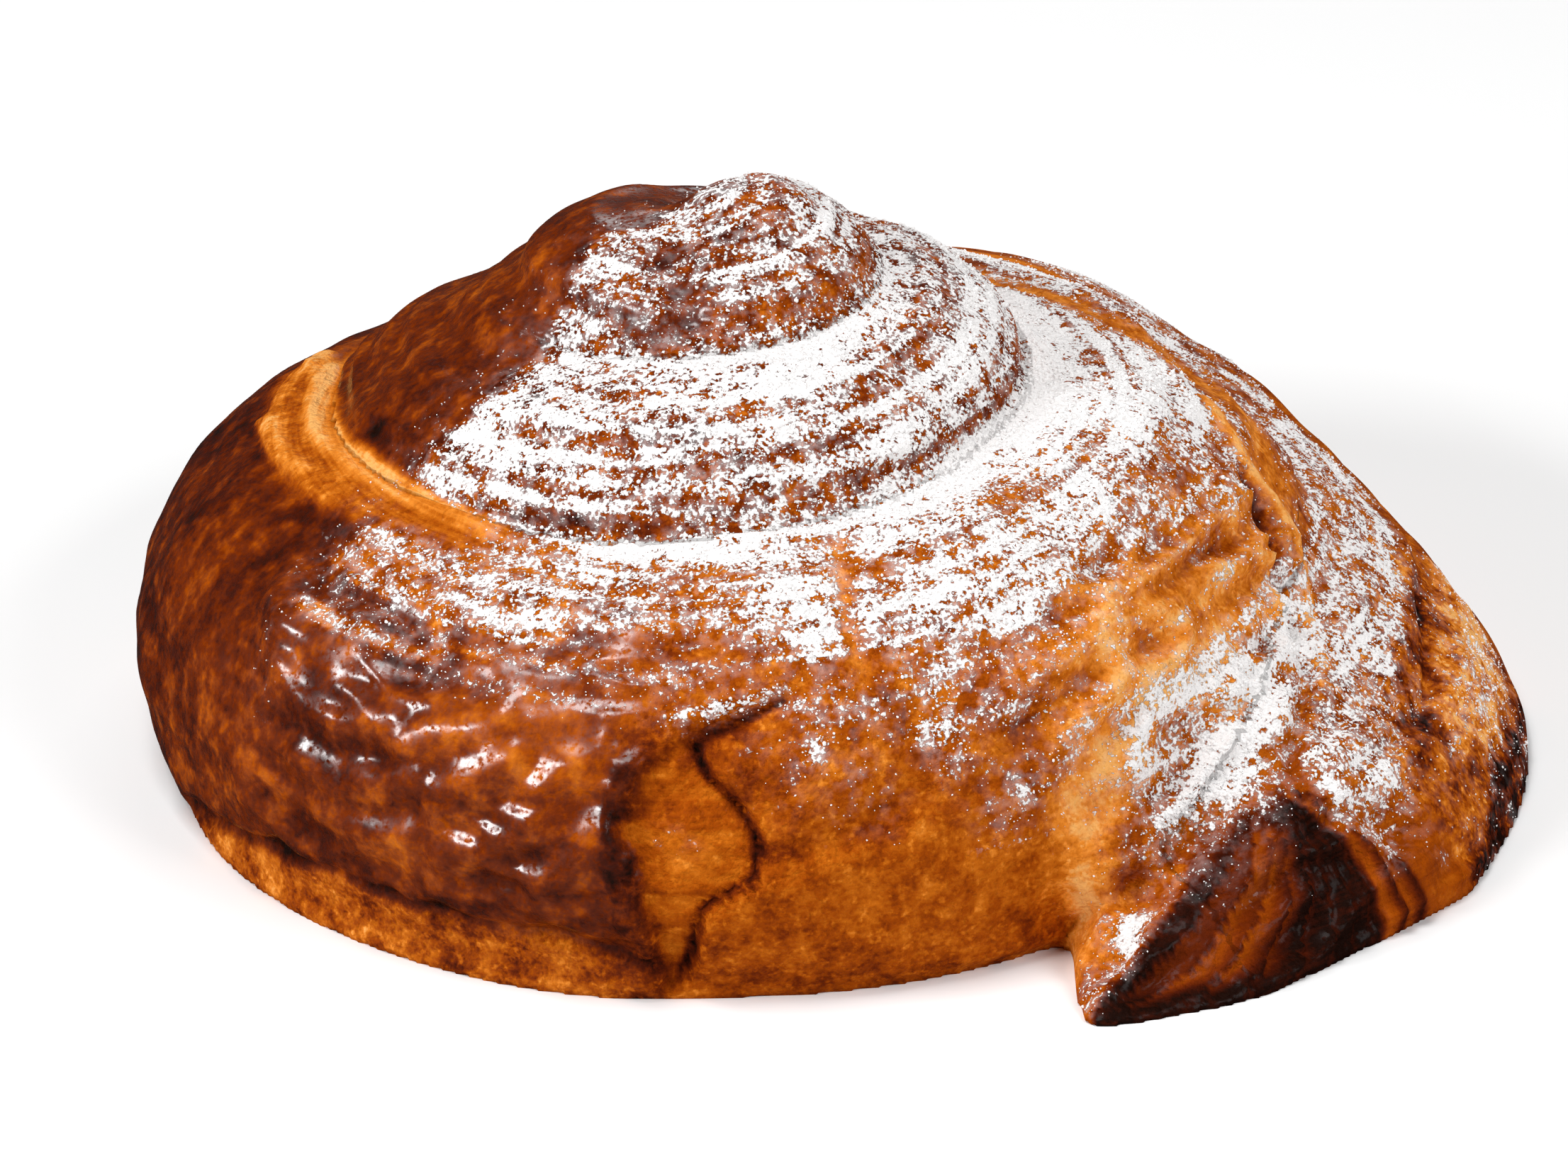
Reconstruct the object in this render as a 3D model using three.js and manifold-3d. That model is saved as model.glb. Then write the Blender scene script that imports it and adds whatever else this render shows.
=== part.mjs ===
// Cinnamon roll: one rope of laminated dough wound into a stepped coil that climbs to a knob, with the rope's
// free end laid down beside the coil. Millimetres, Z up, front is -Y, and the coil's axis is the Z axis.
import * as THREE from "three";
import Module from "manifold-3d";
import { mergeVertices } from "three/addons/utils/BufferGeometryUtils.js";

const wasm = await Module();
wasm.setup();

// The rope, counted in turns from its free end at the front right, anticlockwise and inward.
// Each station: turn, outer reach from the axis, height of the centre, half width, half height, roundness
// (2 is an ellipse, lower is nearer to a tent with straight sides).
const FREE_END_ANGLE = -50;
const ROPE_STATIONS = [
  [0.0, 66.0, 0.0, 9.0, 6.5, 1.5],
  [0.03, 67.5, 0.0, 11.5, 13.0, 1.5],
  [0.085, 69.0, 0.0, 21.0, 19.0, 1.45],
  [0.14, 68.0, 0.0, 25.0, 24.0, 1.4],
  [0.2, 63.0, 1.0, 23.0, 25.5, 1.5],
  [0.28, 58.2, 5.0, 20.0, 24.2, 1.7],
  [0.39, 53.5, 8.5, 19.0, 17.8, 1.9],
  [0.64, 52.5, 9.5, 21.0, 20.0, 2.0],
  [0.89, 52.0, 10.0, 22.0, 22.5, 2.0],
  [1.0, 50.5, 11.0, 21.0, 23.5, 2.1],
  [1.14, 46.5, 14.0, 19.0, 21.0, 2.2],
  [1.39, 39.0, 22.0, 17.0, 12.0, 2.0],
  [1.64, 35.0, 27.5, 17.0, 10.6, 1.9],
  [1.89, 31.5, 30.3, 16.0, 12.0, 2.0],
  [2.14, 24.3, 33.0, 15.0, 11.2, 2.0],
  [2.39, 20.5, 34.5, 13.0, 9.8, 2.0],
  [2.64, 20.0, 37.8, 12.5, 10.3, 1.9],
  [2.89, 17.0, 40.3, 12.0, 8.8, 2.0],
  [3.14, 11.8, 41.5, 10.0, 8.2, 2.0],
  [3.35, 9.5, 42.0, 8.5, 7.0, 2.0],
];
const PIECE_ENDS = [0, 0.86, 1.72, 2.58, 3.3];
const TUCK_LENGTH = 0.03;
const TUCK_SIZE = 0.8;
const ROWS_IN_A_TURN = 42;
const POINTS_AROUND = 40;
const AXIS_GAP = 1;

// Long low ridges of the dough layers, running along the rope. They wander round it in waves: the angle of the
// wave in radians, and its rate for each turn.
const RIDGES_AROUND = 9;
const RIDGE_HEIGHT = 0.4;
const RIDGE_WAVES = [[0.8, 9.1], [0.5, 21.7]];

// The knob the rope ends in, and the crumb inside the coil
const KNOB_CENTRE = [1.8, -2.0, 41.2];
const KNOB_HALF_SIZES = [9.6, 9.4, 9.9];
const KNOB_SIDES = 32;
const KNOB_ROWS = 20;
const CRUMB_RADIUS = 37;
const CRUMB_HEIGHT = 41;
const CRUMB_FOOT = -4;
const CRUMB_SIDES = 40;

// The lip of crust squeezed out under the coil at the front left
const LIP_ANGLES = [196, 270];
const LIP_REACH = 48.2;
const LIP_RISE = 1.0;
const LIP_HALF_WIDTH = 3.4;
const LIP_HALF_HEIGHT = 4.4;
const LIP_DRAWN_IN = 2.4;
const LIP_END_POWER = 4;
const LIP_ROWS = 24;
const LIP_POINTS = 16;

// The free end: a spread wing on the near side, cut off slantwise in two facets.
// Each slope is the height at the axis and the rise per millimetre along X and along Y.
const WING_SLOPE = [7.2, 0.3703, 0.3184];
const RIGHT_SLOPE = [61.8, -0.898, 0.2051];
const CUT_SLOPE = [131.0, -1.333, 1.493];
const CUT_LEFT_SLOPE = [60.7, -0.334, 0.922];
const WING_EDGE_SLOPE = [-44.8, 1.6, 0];
const BACK_SLOPE = [20.0, 0, -1.2];
const SLOPE_BLEND = 2;
const CUT_BLOCK = 60;
const CUT_MIDDLE = [45, -47];

// The grid that the wing is laid on, along its cut and inward from it, and its flat underside below the ground
const CUT_TIP = [34, -56.4];
const CUT_ALONG = [0.747, 0.664];
const WING_LENGTH = [-8, 44];
const WING_COLUMNS = 30;
const WING_DEPTHS = [-3, -1, 0.4, 1.6, 2.8, 4, 5, 6, 7, 8, 9.2, 11, 14, 18, 23, 29, 35];
const WING_LEAST_HEIGHT = -1.5;
const WING_FOOT = -2.5;

// The dough layers on the slanting cut: arcs from the left tip up to its top, as X and Y, each bulging further
// to the right than the one before
const LAYER_FOOT = [28.3, -53.6];
const LAYER_TOP = [42, -38.2];
const LAYER_FOOT_STEP = [1.3, 0.2];
const LAYER_TOP_STEP = [1.2, 0.3];
const LAYER_ASIDE = [0.765, -0.643];
const LAYER_BULGES = [0.8, 2.6, 4.6, 6.8, 9.2, 12];
const LAYER_HALF_DEPTH = 0.8;
const LAYER_HALF_WIDTH = 0.6;
const LAYER_STEPS = 8;
const LAYER_ROWS = 16;

// Cracks in the crust, as pairs of azimuth and height on the side of the coil, and the seam along the ridge of
// the free end, as X and Y
const CRACK_HALF_WIDTH = 0.55;
const CRACK_HALF_DEPTH = 1.3;
const CRACK_ROWS = 18;
const FRONT_CRACK = [[-94.6, 23], [-93.4, 20.3], [-88.2, 14.3], [-88.8, 12], [-94.4, 5], [-96, 1]];
const TORN_EDGE = [[-100.6, 22], [-101, 19.4], [-104.3, 15.5], [-104.1, 12.2], [-98, 3.7], [-97, 1]];
const RIDGE_SEAM = [[45.6, -12], [46.4, -17], [47.4, -22], [47.8, -27], [46.4, -31], [44, -34.3]];
const SEAM_ROWS = 14;

// Bars that make the cracks and layers, their size at the ends as a share of the middle
const BAR_SIDES = 6;
const BAR_END_SIZE = 0.35;

const CRUST_COLOUR = 0xa4561c;
const CRUST_ROUGHNESS = 0.55;
const GROUND_DEPTH = 60;
const GROUND_SIDE = 320;
const WELD_DISTANCE = 1e-4;

const { degToRad, lerp, clamp, euclideanModulo } = THREE.MathUtils;
const rope = new THREE.CubicInterpolant(
  ROPE_STATIONS.map((station) => station[0]),
  ROPE_STATIONS.flatMap((station) => station.slice(1)),
  ROPE_STATIONS[0].length - 1,
);

// Turns a closed geometry into a solid for joining and cutting.
function solidFrom(geometry) {
  const bare = new THREE.BufferGeometry();
  bare.setAttribute("position", geometry.getAttribute("position"));
  bare.setIndex(geometry.index);
  const welded = mergeVertices(bare, WELD_DISTANCE);
  const mesh = new wasm.Mesh({
    numProp: 3,
    vertProperties: new Float32Array(welded.getAttribute("position").array),
    triVerts: new Uint32Array(welded.index.array),
  });
  return new wasm.Manifold(mesh);
}

// Skins a row of closed rings, each with the same number of points, and closes both ends with a fan.
function skinRings(rings) {
  const around = rings[0].length;
  const points = rings.flat();
  const triangles = [];
  for (let row = 0; row + 1 < rings.length; row += 1) {
    for (let step = 0; step < around; step += 1) {
      const here = row * around + step;
      const next = row * around + (step + 1) % around;
      triangles.push([here, here + around, next + around], [here, next + around, next]);
    }
  }
  for (const row of [0, rings.length - 1]) {
    const ring = rings[row];
    const middle = [0, 1, 2].map((axis) => ring.reduce((sum, point) => sum + point[axis], 0) / around);
    points.push(middle);
    for (let step = 0; step < around; step += 1) {
      const here = row * around + step;
      const next = row * around + (step + 1) % around;
      triangles.push(row === 0 ? [points.length - 1, here, next] : [points.length - 1, next, here]);
    }
  }
  const geometry = new THREE.BufferGeometry();
  geometry.setAttribute("position", new THREE.Float32BufferAttribute(points.flat(), 3));
  geometry.setIndex(triangles.flat());
  return geometry;
}

function signedPower(value, power) {
  return Math.sign(value) * Math.abs(value) ** power;
}

function onAxisPlane(angle, reach, height) {
  return [reach * Math.cos(angle), reach * Math.sin(angle), height];
}

// One ring of the rope, standing in the upright plane that holds the coil's axis.
function ropeRing(turn, size) {
  const [reach, rise, halfWidth, halfHeight, roundness] = rope.evaluate(turn);
  const angle = degToRad(FREE_END_ANGLE) + turn * 2 * Math.PI;
  const drift = RIDGE_WAVES.reduce((sum, [size, rate]) => sum + size * Math.sin(turn * rate), 0);
  const ring = [];
  for (let step = 0; step < POINTS_AROUND; step += 1) {
    const around = (step / POINTS_AROUND) * 2 * Math.PI;
    const swell = size * (1 + (RIDGE_HEIGHT / halfHeight) * Math.sin(RIDGES_AROUND * around + drift));
    const across = halfWidth * swell * signedPower(Math.cos(around), 2 / roundness);
    const up = halfHeight * swell * signedPower(Math.sin(around), 2 / roundness);
    ring.push(onAxisPlane(angle, Math.max(reach - halfWidth + across, AXIS_GAP), rise + up));
  }
  return ring;
}

// A length of the rope short of a full turn, with its inner end tucked into the length that follows.
function ropePiece(fromTurn, toTurn) {
  const rows = Math.round((toTurn - fromTurn) * ROWS_IN_A_TURN);
  const rings = [];
  for (let row = 0; row < rows; row += 1) {
    rings.push(ropeRing(lerp(fromTurn, toTurn, row / rows), 1));
  }
  rings.push(ropeRing(toTurn, 1));
  rings.push(ropeRing(toTurn + TUCK_LENGTH, TUCK_SIZE));
  return solidFrom(skinRings(rings));
}

function softMin(first, second, blend) {
  const share = clamp(0.5 + (0.5 * (second - first)) / blend, 0, 1);
  return second + (first - second) * share - blend * share * (1 - share);
}

function slopeHeight([base, alongX, alongY], x, y) {
  return base + alongX * x + alongY * y;
}

function slopeOutward([, alongX, alongY]) {
  return new THREE.Vector3(-alongX, -alongY, 1).normalize();
}

// Height of the free end: the lowest of its slopes, rounded where two of them meet.
function wingHeight(x, y) {
  const slopes = [WING_SLOPE, RIGHT_SLOPE, CUT_SLOPE, CUT_LEFT_SLOPE, WING_EDGE_SLOPE, BACK_SLOPE];
  const heights = slopes.map((slope) => slopeHeight(slope, x, y));
  return heights.reduce((lowest, height) => softMin(lowest, height, SLOPE_BLEND));
}

// A point on the ground plan, measured along the foot of the slanting cut and inward from it.
function fromCut(along, inward) {
  const x = CUT_TIP[0] + CUT_ALONG[0] * along - CUT_ALONG[1] * inward;
  const y = CUT_TIP[1] + CUT_ALONG[1] * along + CUT_ALONG[0] * inward;
  return [x, y];
}

// The free end as a mound on a grid laid along its cut, with a flat underside below the ground.
function wingMound() {
  const rings = [];
  for (let column = 0; column <= WING_COLUMNS; column += 1) {
    const along = lerp(...WING_LENGTH, column / WING_COLUMNS);
    const ring = WING_DEPTHS.map((inward) => {
      const [x, y] = fromCut(along, inward);
      return [x, y, Math.max(wingHeight(x, y), WING_LEAST_HEIGHT)];
    });
    ring.push([...fromCut(along, WING_DEPTHS.at(-1)), WING_FOOT]);
    ring.push([...fromCut(along, WING_DEPTHS[0]), WING_FOOT]);
    rings.push(ring);
  }
  return solidFrom(skinRings(rings));
}

// A thin bar laid along a path on the surface, tapered to its ends. It stands out along the
// direction that outwardAt gives for a point.
function barAlong(points, outwardAt, halfDepth, halfWidth, steps) {
  const curve = new THREE.CatmullRomCurve3(points);
  const rings = [];
  for (let row = 0; row <= steps; row += 1) {
    const point = curve.getPointAt(row / steps);
    const outward = outwardAt(point);
    const sideways = new THREE.Vector3().crossVectors(outward, curve.getTangentAt(row / steps)).normalize();
    const taper = lerp(BAR_END_SIZE, 1, Math.sin((Math.PI * row) / steps));
    const ring = [];
    for (let step = 0; step < BAR_SIDES; step += 1) {
      const around = (step / BAR_SIDES) * 2 * Math.PI;
      const corner = point.clone();
      corner.addScaledVector(outward, halfDepth * taper * Math.cos(around));
      corner.addScaledVector(sideways, halfWidth * taper * Math.sin(around));
      ring.push(corner.toArray());
    }
    rings.push(ring);
  }
  return solidFrom(skinRings(rings));
}

// One of the dough layers that show on the slanting cut.
function layerArc(bulge, index) {
  const points = [];
  for (let step = 0; step <= LAYER_STEPS; step += 1) {
    const share = step / LAYER_STEPS;
    const aside = bulge * Math.sin(Math.PI * share);
    const [x, y] = [0, 1].map((axis) => {
      const foot = LAYER_FOOT[axis] + index * LAYER_FOOT_STEP[axis];
      const top = LAYER_TOP[axis] + index * LAYER_TOP_STEP[axis];
      return lerp(foot, top, share) + aside * LAYER_ASIDE[axis];
    });
    points.push(new THREE.Vector3(x, y, wingHeight(x, y)));
  }
  const outward = slopeOutward(CUT_LEFT_SLOPE).add(slopeOutward(CUT_SLOPE)).normalize();
  return barAlong(points, () => outward, LAYER_HALF_DEPTH, LAYER_HALF_WIDTH, LAYER_ROWS);
}

function lipOfCrust() {
  const rings = [];
  for (let row = 0; row <= LIP_ROWS; row += 1) {
    const angle = degToRad(lerp(...LIP_ANGLES, row / LIP_ROWS));
    const drawnIn = LIP_DRAWN_IN * ((2 * row) / LIP_ROWS - 1) ** LIP_END_POWER;
    const ring = [];
    for (let step = 0; step < LIP_POINTS; step += 1) {
      const around = (step / LIP_POINTS) * 2 * Math.PI;
      const reach = LIP_REACH - drawnIn + LIP_HALF_WIDTH * Math.cos(around);
      ring.push(onAxisPlane(angle, reach, LIP_RISE + LIP_HALF_HEIGHT * Math.sin(around)));
    }
    rings.push(ring);
  }
  return solidFrom(skinRings(rings));
}

function knobOfDough() {
  const geometry = new THREE.SphereGeometry(1, KNOB_SIDES, KNOB_ROWS);
  geometry.scale(...KNOB_HALF_SIZES);
  geometry.translate(...KNOB_CENTRE);
  return solidFrom(geometry);
}

function crumbInside() {
  const profile = [[0, CRUMB_FOOT], [CRUMB_RADIUS, CRUMB_FOOT], [CRUMB_RADIUS, 0], [0, CRUMB_HEIGHT]];
  const geometry = new THREE.LatheGeometry(profile.map(([x, y]) => new THREE.Vector2(x, y)), CRUMB_SIDES);
  geometry.rotateX(Math.PI / 2);
  return solidFrom(geometry);
}

// A point on the side of the outermost turn of the coil, at an azimuth in degrees and a height.
function sidePoint([azimuth, height]) {
  const turn = euclideanModulo((azimuth - FREE_END_ANGLE) / 360, 1);
  const [reach, rise, halfWidth, halfHeight, roundness] = rope.evaluate(turn);
  const upShare = Math.min(Math.abs(height - rise) / halfHeight, 1);
  const across = halfWidth * (1 - upShare ** roundness) ** (1 / roundness);
  return new THREE.Vector3(...onAxisPlane(degToRad(azimuth), reach - halfWidth + across, height));
}

function crack(path) {
  const awayFromAxis = (point) => new THREE.Vector3(point.x, point.y, 0).normalize();
  return barAlong(path.map(sidePoint), awayFromAxis, CRACK_HALF_DEPTH, CRACK_HALF_WIDTH, CRACK_ROWS);
}

// Height of the outermost turn of the rope above a point on the ground plan.
function ropeTop(x, y) {
  const turn = euclideanModulo((Math.atan2(y, x) - degToRad(FREE_END_ANGLE)) / (2 * Math.PI), 1);
  const [reach, rise, halfWidth, halfHeight, roundness] = rope.evaluate(turn);
  const acrossShare = Math.min(Math.abs(Math.hypot(x, y) - reach + halfWidth) / halfWidth, 1);
  return rise + halfHeight * (1 - acrossShare ** roundness) ** (1 / roundness);
}

function ridgeSeam() {
  const points = RIDGE_SEAM.map(([x, y]) => {
    return new THREE.Vector3(x, y, Math.max(wingHeight(x, y), ropeTop(x, y)));
  });
  const up = new THREE.Vector3(0, 0, 1);
  return barAlong(points, () => up, CRACK_HALF_DEPTH, CRACK_HALF_WIDTH, SEAM_ROWS);
}

function groundBlock() {
  const geometry = new THREE.BoxGeometry(GROUND_SIDE, GROUND_SIDE, GROUND_DEPTH);
  geometry.translate(0, 0, -GROUND_DEPTH / 2);
  return solidFrom(geometry);
}

// A block of what lies above one facet of the slanting cut.
function blockAbove(slope) {
  const geometry = new THREE.BoxGeometry(CUT_BLOCK, CUT_BLOCK, CUT_BLOCK);
  const up = new THREE.Vector3(0, 0, 1);
  geometry.translate(0, 0, CUT_BLOCK / 2);
  geometry.applyQuaternion(new THREE.Quaternion().setFromUnitVectors(up, slopeOutward(slope)));
  geometry.translate(...CUT_MIDDLE, slopeHeight(slope, ...CUT_MIDDLE));
  return solidFrom(geometry);
}

function buildRoll() {
  let roll = ropePiece(PIECE_ENDS[0], PIECE_ENDS[1]);
  roll = roll.subtract(blockAbove(CUT_SLOPE)).subtract(blockAbove(CUT_LEFT_SLOPE)).add(crumbInside());
  for (let index = 1; index + 1 < PIECE_ENDS.length; index += 1) {
    roll = roll.add(ropePiece(PIECE_ENDS[index], PIECE_ENDS[index + 1]));
  }
  roll = roll.add(knobOfDough()).add(wingMound()).add(lipOfCrust());
  for (const layer of LAYER_BULGES.map(layerArc)) {
    roll = roll.add(layer);
  }
  roll = roll.subtract(crack(FRONT_CRACK)).subtract(crack(TORN_EDGE)).subtract(ridgeSeam());
  return roll.subtract(groundBlock());
}

const shape = buildRoll().getMesh();
const surface = new THREE.BufferGeometry();
surface.setAttribute("position", new THREE.Float32BufferAttribute(shape.vertProperties, 3));
surface.setIndex(new THREE.Uint32BufferAttribute(shape.triVerts, 1));
surface.computeVertexNormals();

const crust = new THREE.MeshStandardMaterial({
  color: CRUST_COLOUR,
  roughness: CRUST_ROUGHNESS,
  metalness: 0,
});
const roll = new THREE.Mesh(surface, crust);
roll.name = "roll";

const part = new THREE.Group();
part.add(roll);
export default part;
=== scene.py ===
"""Cinnamon roll: a rope of laminated dough wound into a stepped coil that ends in a knob, its free end laid
beside it. The left is glazed dark with egg wash, and icing sugar lies over the top and the right."""
import math
from types import SimpleNamespace

import bmesh
import bpy
import numpy as np
import openvdb
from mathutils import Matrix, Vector


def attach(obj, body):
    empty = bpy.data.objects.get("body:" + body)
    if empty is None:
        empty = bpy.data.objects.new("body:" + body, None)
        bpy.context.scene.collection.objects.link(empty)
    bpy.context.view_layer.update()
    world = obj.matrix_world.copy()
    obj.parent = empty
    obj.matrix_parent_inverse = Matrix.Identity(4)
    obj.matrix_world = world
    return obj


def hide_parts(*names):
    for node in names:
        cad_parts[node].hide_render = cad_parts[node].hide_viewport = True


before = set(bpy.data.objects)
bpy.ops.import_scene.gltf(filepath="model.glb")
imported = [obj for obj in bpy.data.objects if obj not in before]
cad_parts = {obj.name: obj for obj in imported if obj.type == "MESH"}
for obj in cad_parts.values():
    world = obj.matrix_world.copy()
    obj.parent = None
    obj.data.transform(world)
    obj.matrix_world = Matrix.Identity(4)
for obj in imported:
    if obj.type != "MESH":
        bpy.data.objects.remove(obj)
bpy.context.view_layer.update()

# Lengths are millimetres in the frame of the solid: X right, Y back, Z up, the coil's axis on Z.
MM = 0.001
FULL_TURN = 2 * math.pi

# The rope, counted in turns from its free end at the front right, anticlockwise and inward. Each station:
# turn, outer reach from the axis, height of the centre, half width, half height, roundness.
FREE_END_ANGLE = math.radians(-50)
ROPE_STATIONS = np.array([
    (0.00, 66.0, 0.0, 9.0, 6.5, 1.5),
    (0.03, 67.5, 0.0, 11.5, 13.0, 1.5),
    (0.085, 69.0, 0.0, 21.0, 19.0, 1.45),
    (0.14, 68.0, 0.0, 25.0, 24.0, 1.4),
    (0.20, 63.0, 1.0, 23.0, 25.5, 1.5),
    (0.28, 58.2, 5.0, 20.0, 24.2, 1.7),
    (0.39, 53.5, 8.5, 19.0, 17.8, 1.9),
    (0.64, 52.5, 9.5, 21.0, 20.0, 2.0),
    (0.89, 52.0, 10.0, 22.0, 22.5, 2.0),
    (1.00, 50.5, 11.0, 21.0, 23.5, 2.1),
    (1.14, 46.5, 14.0, 19.0, 21.0, 2.2),
    (1.39, 39.0, 22.0, 17.0, 12.0, 2.0),
    (1.64, 35.0, 27.5, 17.0, 10.6, 1.9),
    (1.89, 31.5, 30.3, 16.0, 12.0, 2.0),
    (2.14, 24.3, 33.0, 15.0, 11.2, 2.0),
    (2.39, 20.5, 34.5, 13.0, 9.8, 2.0),
    (2.64, 20.0, 37.8, 12.5, 10.3, 1.9),
    (2.89, 17.0, 40.3, 12.0, 8.8, 2.0),
    (3.14, 11.8, 41.5, 10.0, 8.2, 2.0),
    (3.35, 9.5, 42.0, 8.5, 7.0, 2.0),
])
LAPS = 4
TAIL_TURNS = 0.5
TURN_BLEND = 1.2
UPPER_LAP = 2
UPPER_LEFT_BLEND = 9.0
UPPER_LEFT_AZIMUTHS = (60, 100, 190, 228)

# Limits of the distances that are told apart, and the least size and slope that they are worked out with
FAR_OFF = 60.0
DEEP_INSIDE = -25.0
LEAST_SIZE = 1e-6
LEAST_SLOPE = 1e-3

# The knob the rope ends in, the crumb inside, and the lip of crust squeezed out at the front left
KNOB_CENTRE = (1.8, -2.0, 41.2)
KNOB_HALF_SIZES = (9.6, 9.4, 9.9)
KNOB_BLEND = 1.2
CRUMB_RADIUS = 37.0
CRUMB_HEIGHT = 41.0
CRUMB_STEEPNESS = 0.74
LIP_ANGLES = (math.radians(-164), math.radians(-90))
LIP_REACH = 48.2
LIP_RISE = 1.0
LIP_HALF_WIDTH = 3.4
LIP_HALF_HEIGHT = 4.4
LIP_DRAWN_IN = 2.4
LIP_BLEND = 0.8

# The free end's slopes: the height at the axis and the rise per millimetre along X and along Y.
# Along its slanting cut it is measured from the left tip.
WING_SLOPE = (7.2, 0.3703, 0.3184)
RIGHT_SLOPE = (61.8, -0.898, 0.2051)
CUT_SLOPE = (131.0, -1.333, 1.493)
CUT_LEFT_SLOPE = (60.7, -0.334, 0.922)
WING_EDGE_SLOPE = (-43.4, 1.6, 0.0)
BACK_SLOPE = (20.0, 0.0, -1.2)
SLOPE_BLEND = 2.0
WING_BLEND = 3.0
WING_FILLET = 10.0
FILLET_HEIGHTS = (2.0, 10.0)
WING_STEEPNESS = 0.62
WING_LENGTH = 44.0
CUT_STEEPNESS = 0.43
CUT_BLEND = 2.0
CUT_TIP = (34.0, -56.4)
CUT_ALONG = (0.747, 0.664)

# Size of a cell of the skin, and the heights between which its relief fades to the flat underside
SKIN_CELL = 0.56
SKIN_LOW = np.array((-56.0, -61.0, -2.0))
SKIN_HIGH = np.array((72.0, 57.0, 54.5))
UNDERSIDE_CELLS = 0.4
FOOT_FADE = (0.2, 1.8)


def ease(value, low, high):
    """Rises smoothly from 0 at low to 1 at high."""
    share = np.clip((value - low) / (high - low), 0, 1)
    return share * share * (3 - 2 * share)


def hump(value, centre, width):
    """1 at the centre, falling off smoothly to both sides."""
    return np.exp(-(((value - centre) / width) ** 2))


def band(value, rise_from, rise_to, fall_from, fall_to):
    """1 between two edges, easing in and out over each."""
    return ease(value, rise_from, rise_to) * (1 - ease(value, fall_from, fall_to))


def soft_min(first, second, blend):
    """The lower of two values, rounded where they meet."""
    share = np.clip(0.5 + 0.5 * (second - first) / blend, 0, 1)
    return second + (first - second) * share - blend * share * (1 - share)


def rope_at(turn):
    """Reach, rise, half width, half height and roundness of the rope at a turn, on smooth curves."""
    turns = ROPE_STATIONS[:, 0]
    sizes = ROPE_STATIONS[:, 1:]
    slopes = np.gradient(sizes, turns, axis=0)
    turn = np.clip(turn, turns[0], turns[-1])
    index = np.clip(np.searchsorted(turns, turn) - 1, 0, len(turns) - 2)
    step = turns[index + 1] - turns[index]
    share = (turn - turns[index]) / step
    weight = share * share * (3 - 2 * share)
    lift = step * share * (1 - share) ** 2
    drop = step * share * share * (share - 1)
    found = []
    for column in range(sizes.shape[1]):
        size = sizes[:, column]
        slope = slopes[:, column]
        value = size[index] * (1 - weight) + size[index + 1] * weight
        found.append(value + slope[index] * lift + slope[index + 1] * drop)
    return found


def section_distance(reach, height, turn):
    """Distance from points beside the axis to the rope's section at a turn, negative inside it."""
    outer, rise, half_width, half_height, roundness = rope_at(turn)
    across = np.abs(reach - outer + half_width) / half_width
    up = np.abs(height - rise) / half_height
    size = np.maximum(across**roundness + up**roundness, LEAST_SIZE) ** (1 / roundness)
    lean = np.hypot(across ** (roundness - 1) / half_width, up ** (roundness - 1) / half_height)
    slope = np.maximum(size ** (1 - roundness) * lean, LEAST_SLOPE)
    distance = np.clip((size - 1) / slope, DEEP_INSIDE, FAR_OFF)
    return np.where(turn > ROPE_STATIONS[-1, 0], FAR_OFF, distance)


def slope_height(slope, x, y):
    """Height of a slope over a place."""
    base, along_x, along_y = slope
    return base + along_x * x + along_y * y


def wing_height(x, y):
    """Height of the free end: the lowest of its slopes, rounded where two of them meet."""
    height = slope_height(WING_SLOPE, x, y)
    for slope in (RIGHT_SLOPE, CUT_SLOPE, CUT_LEFT_SLOPE, WING_EDGE_SLOPE, BACK_SLOPE):
        height = soft_min(height, slope_height(slope, x, y), SLOPE_BLEND)
    return height


def turn_in_circle(x, y):
    """Share of a turn from the free end, anticlockwise."""
    return ((np.arctan2(y, x) - FREE_END_ANGLE) / FULL_TURN) % 1


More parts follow.
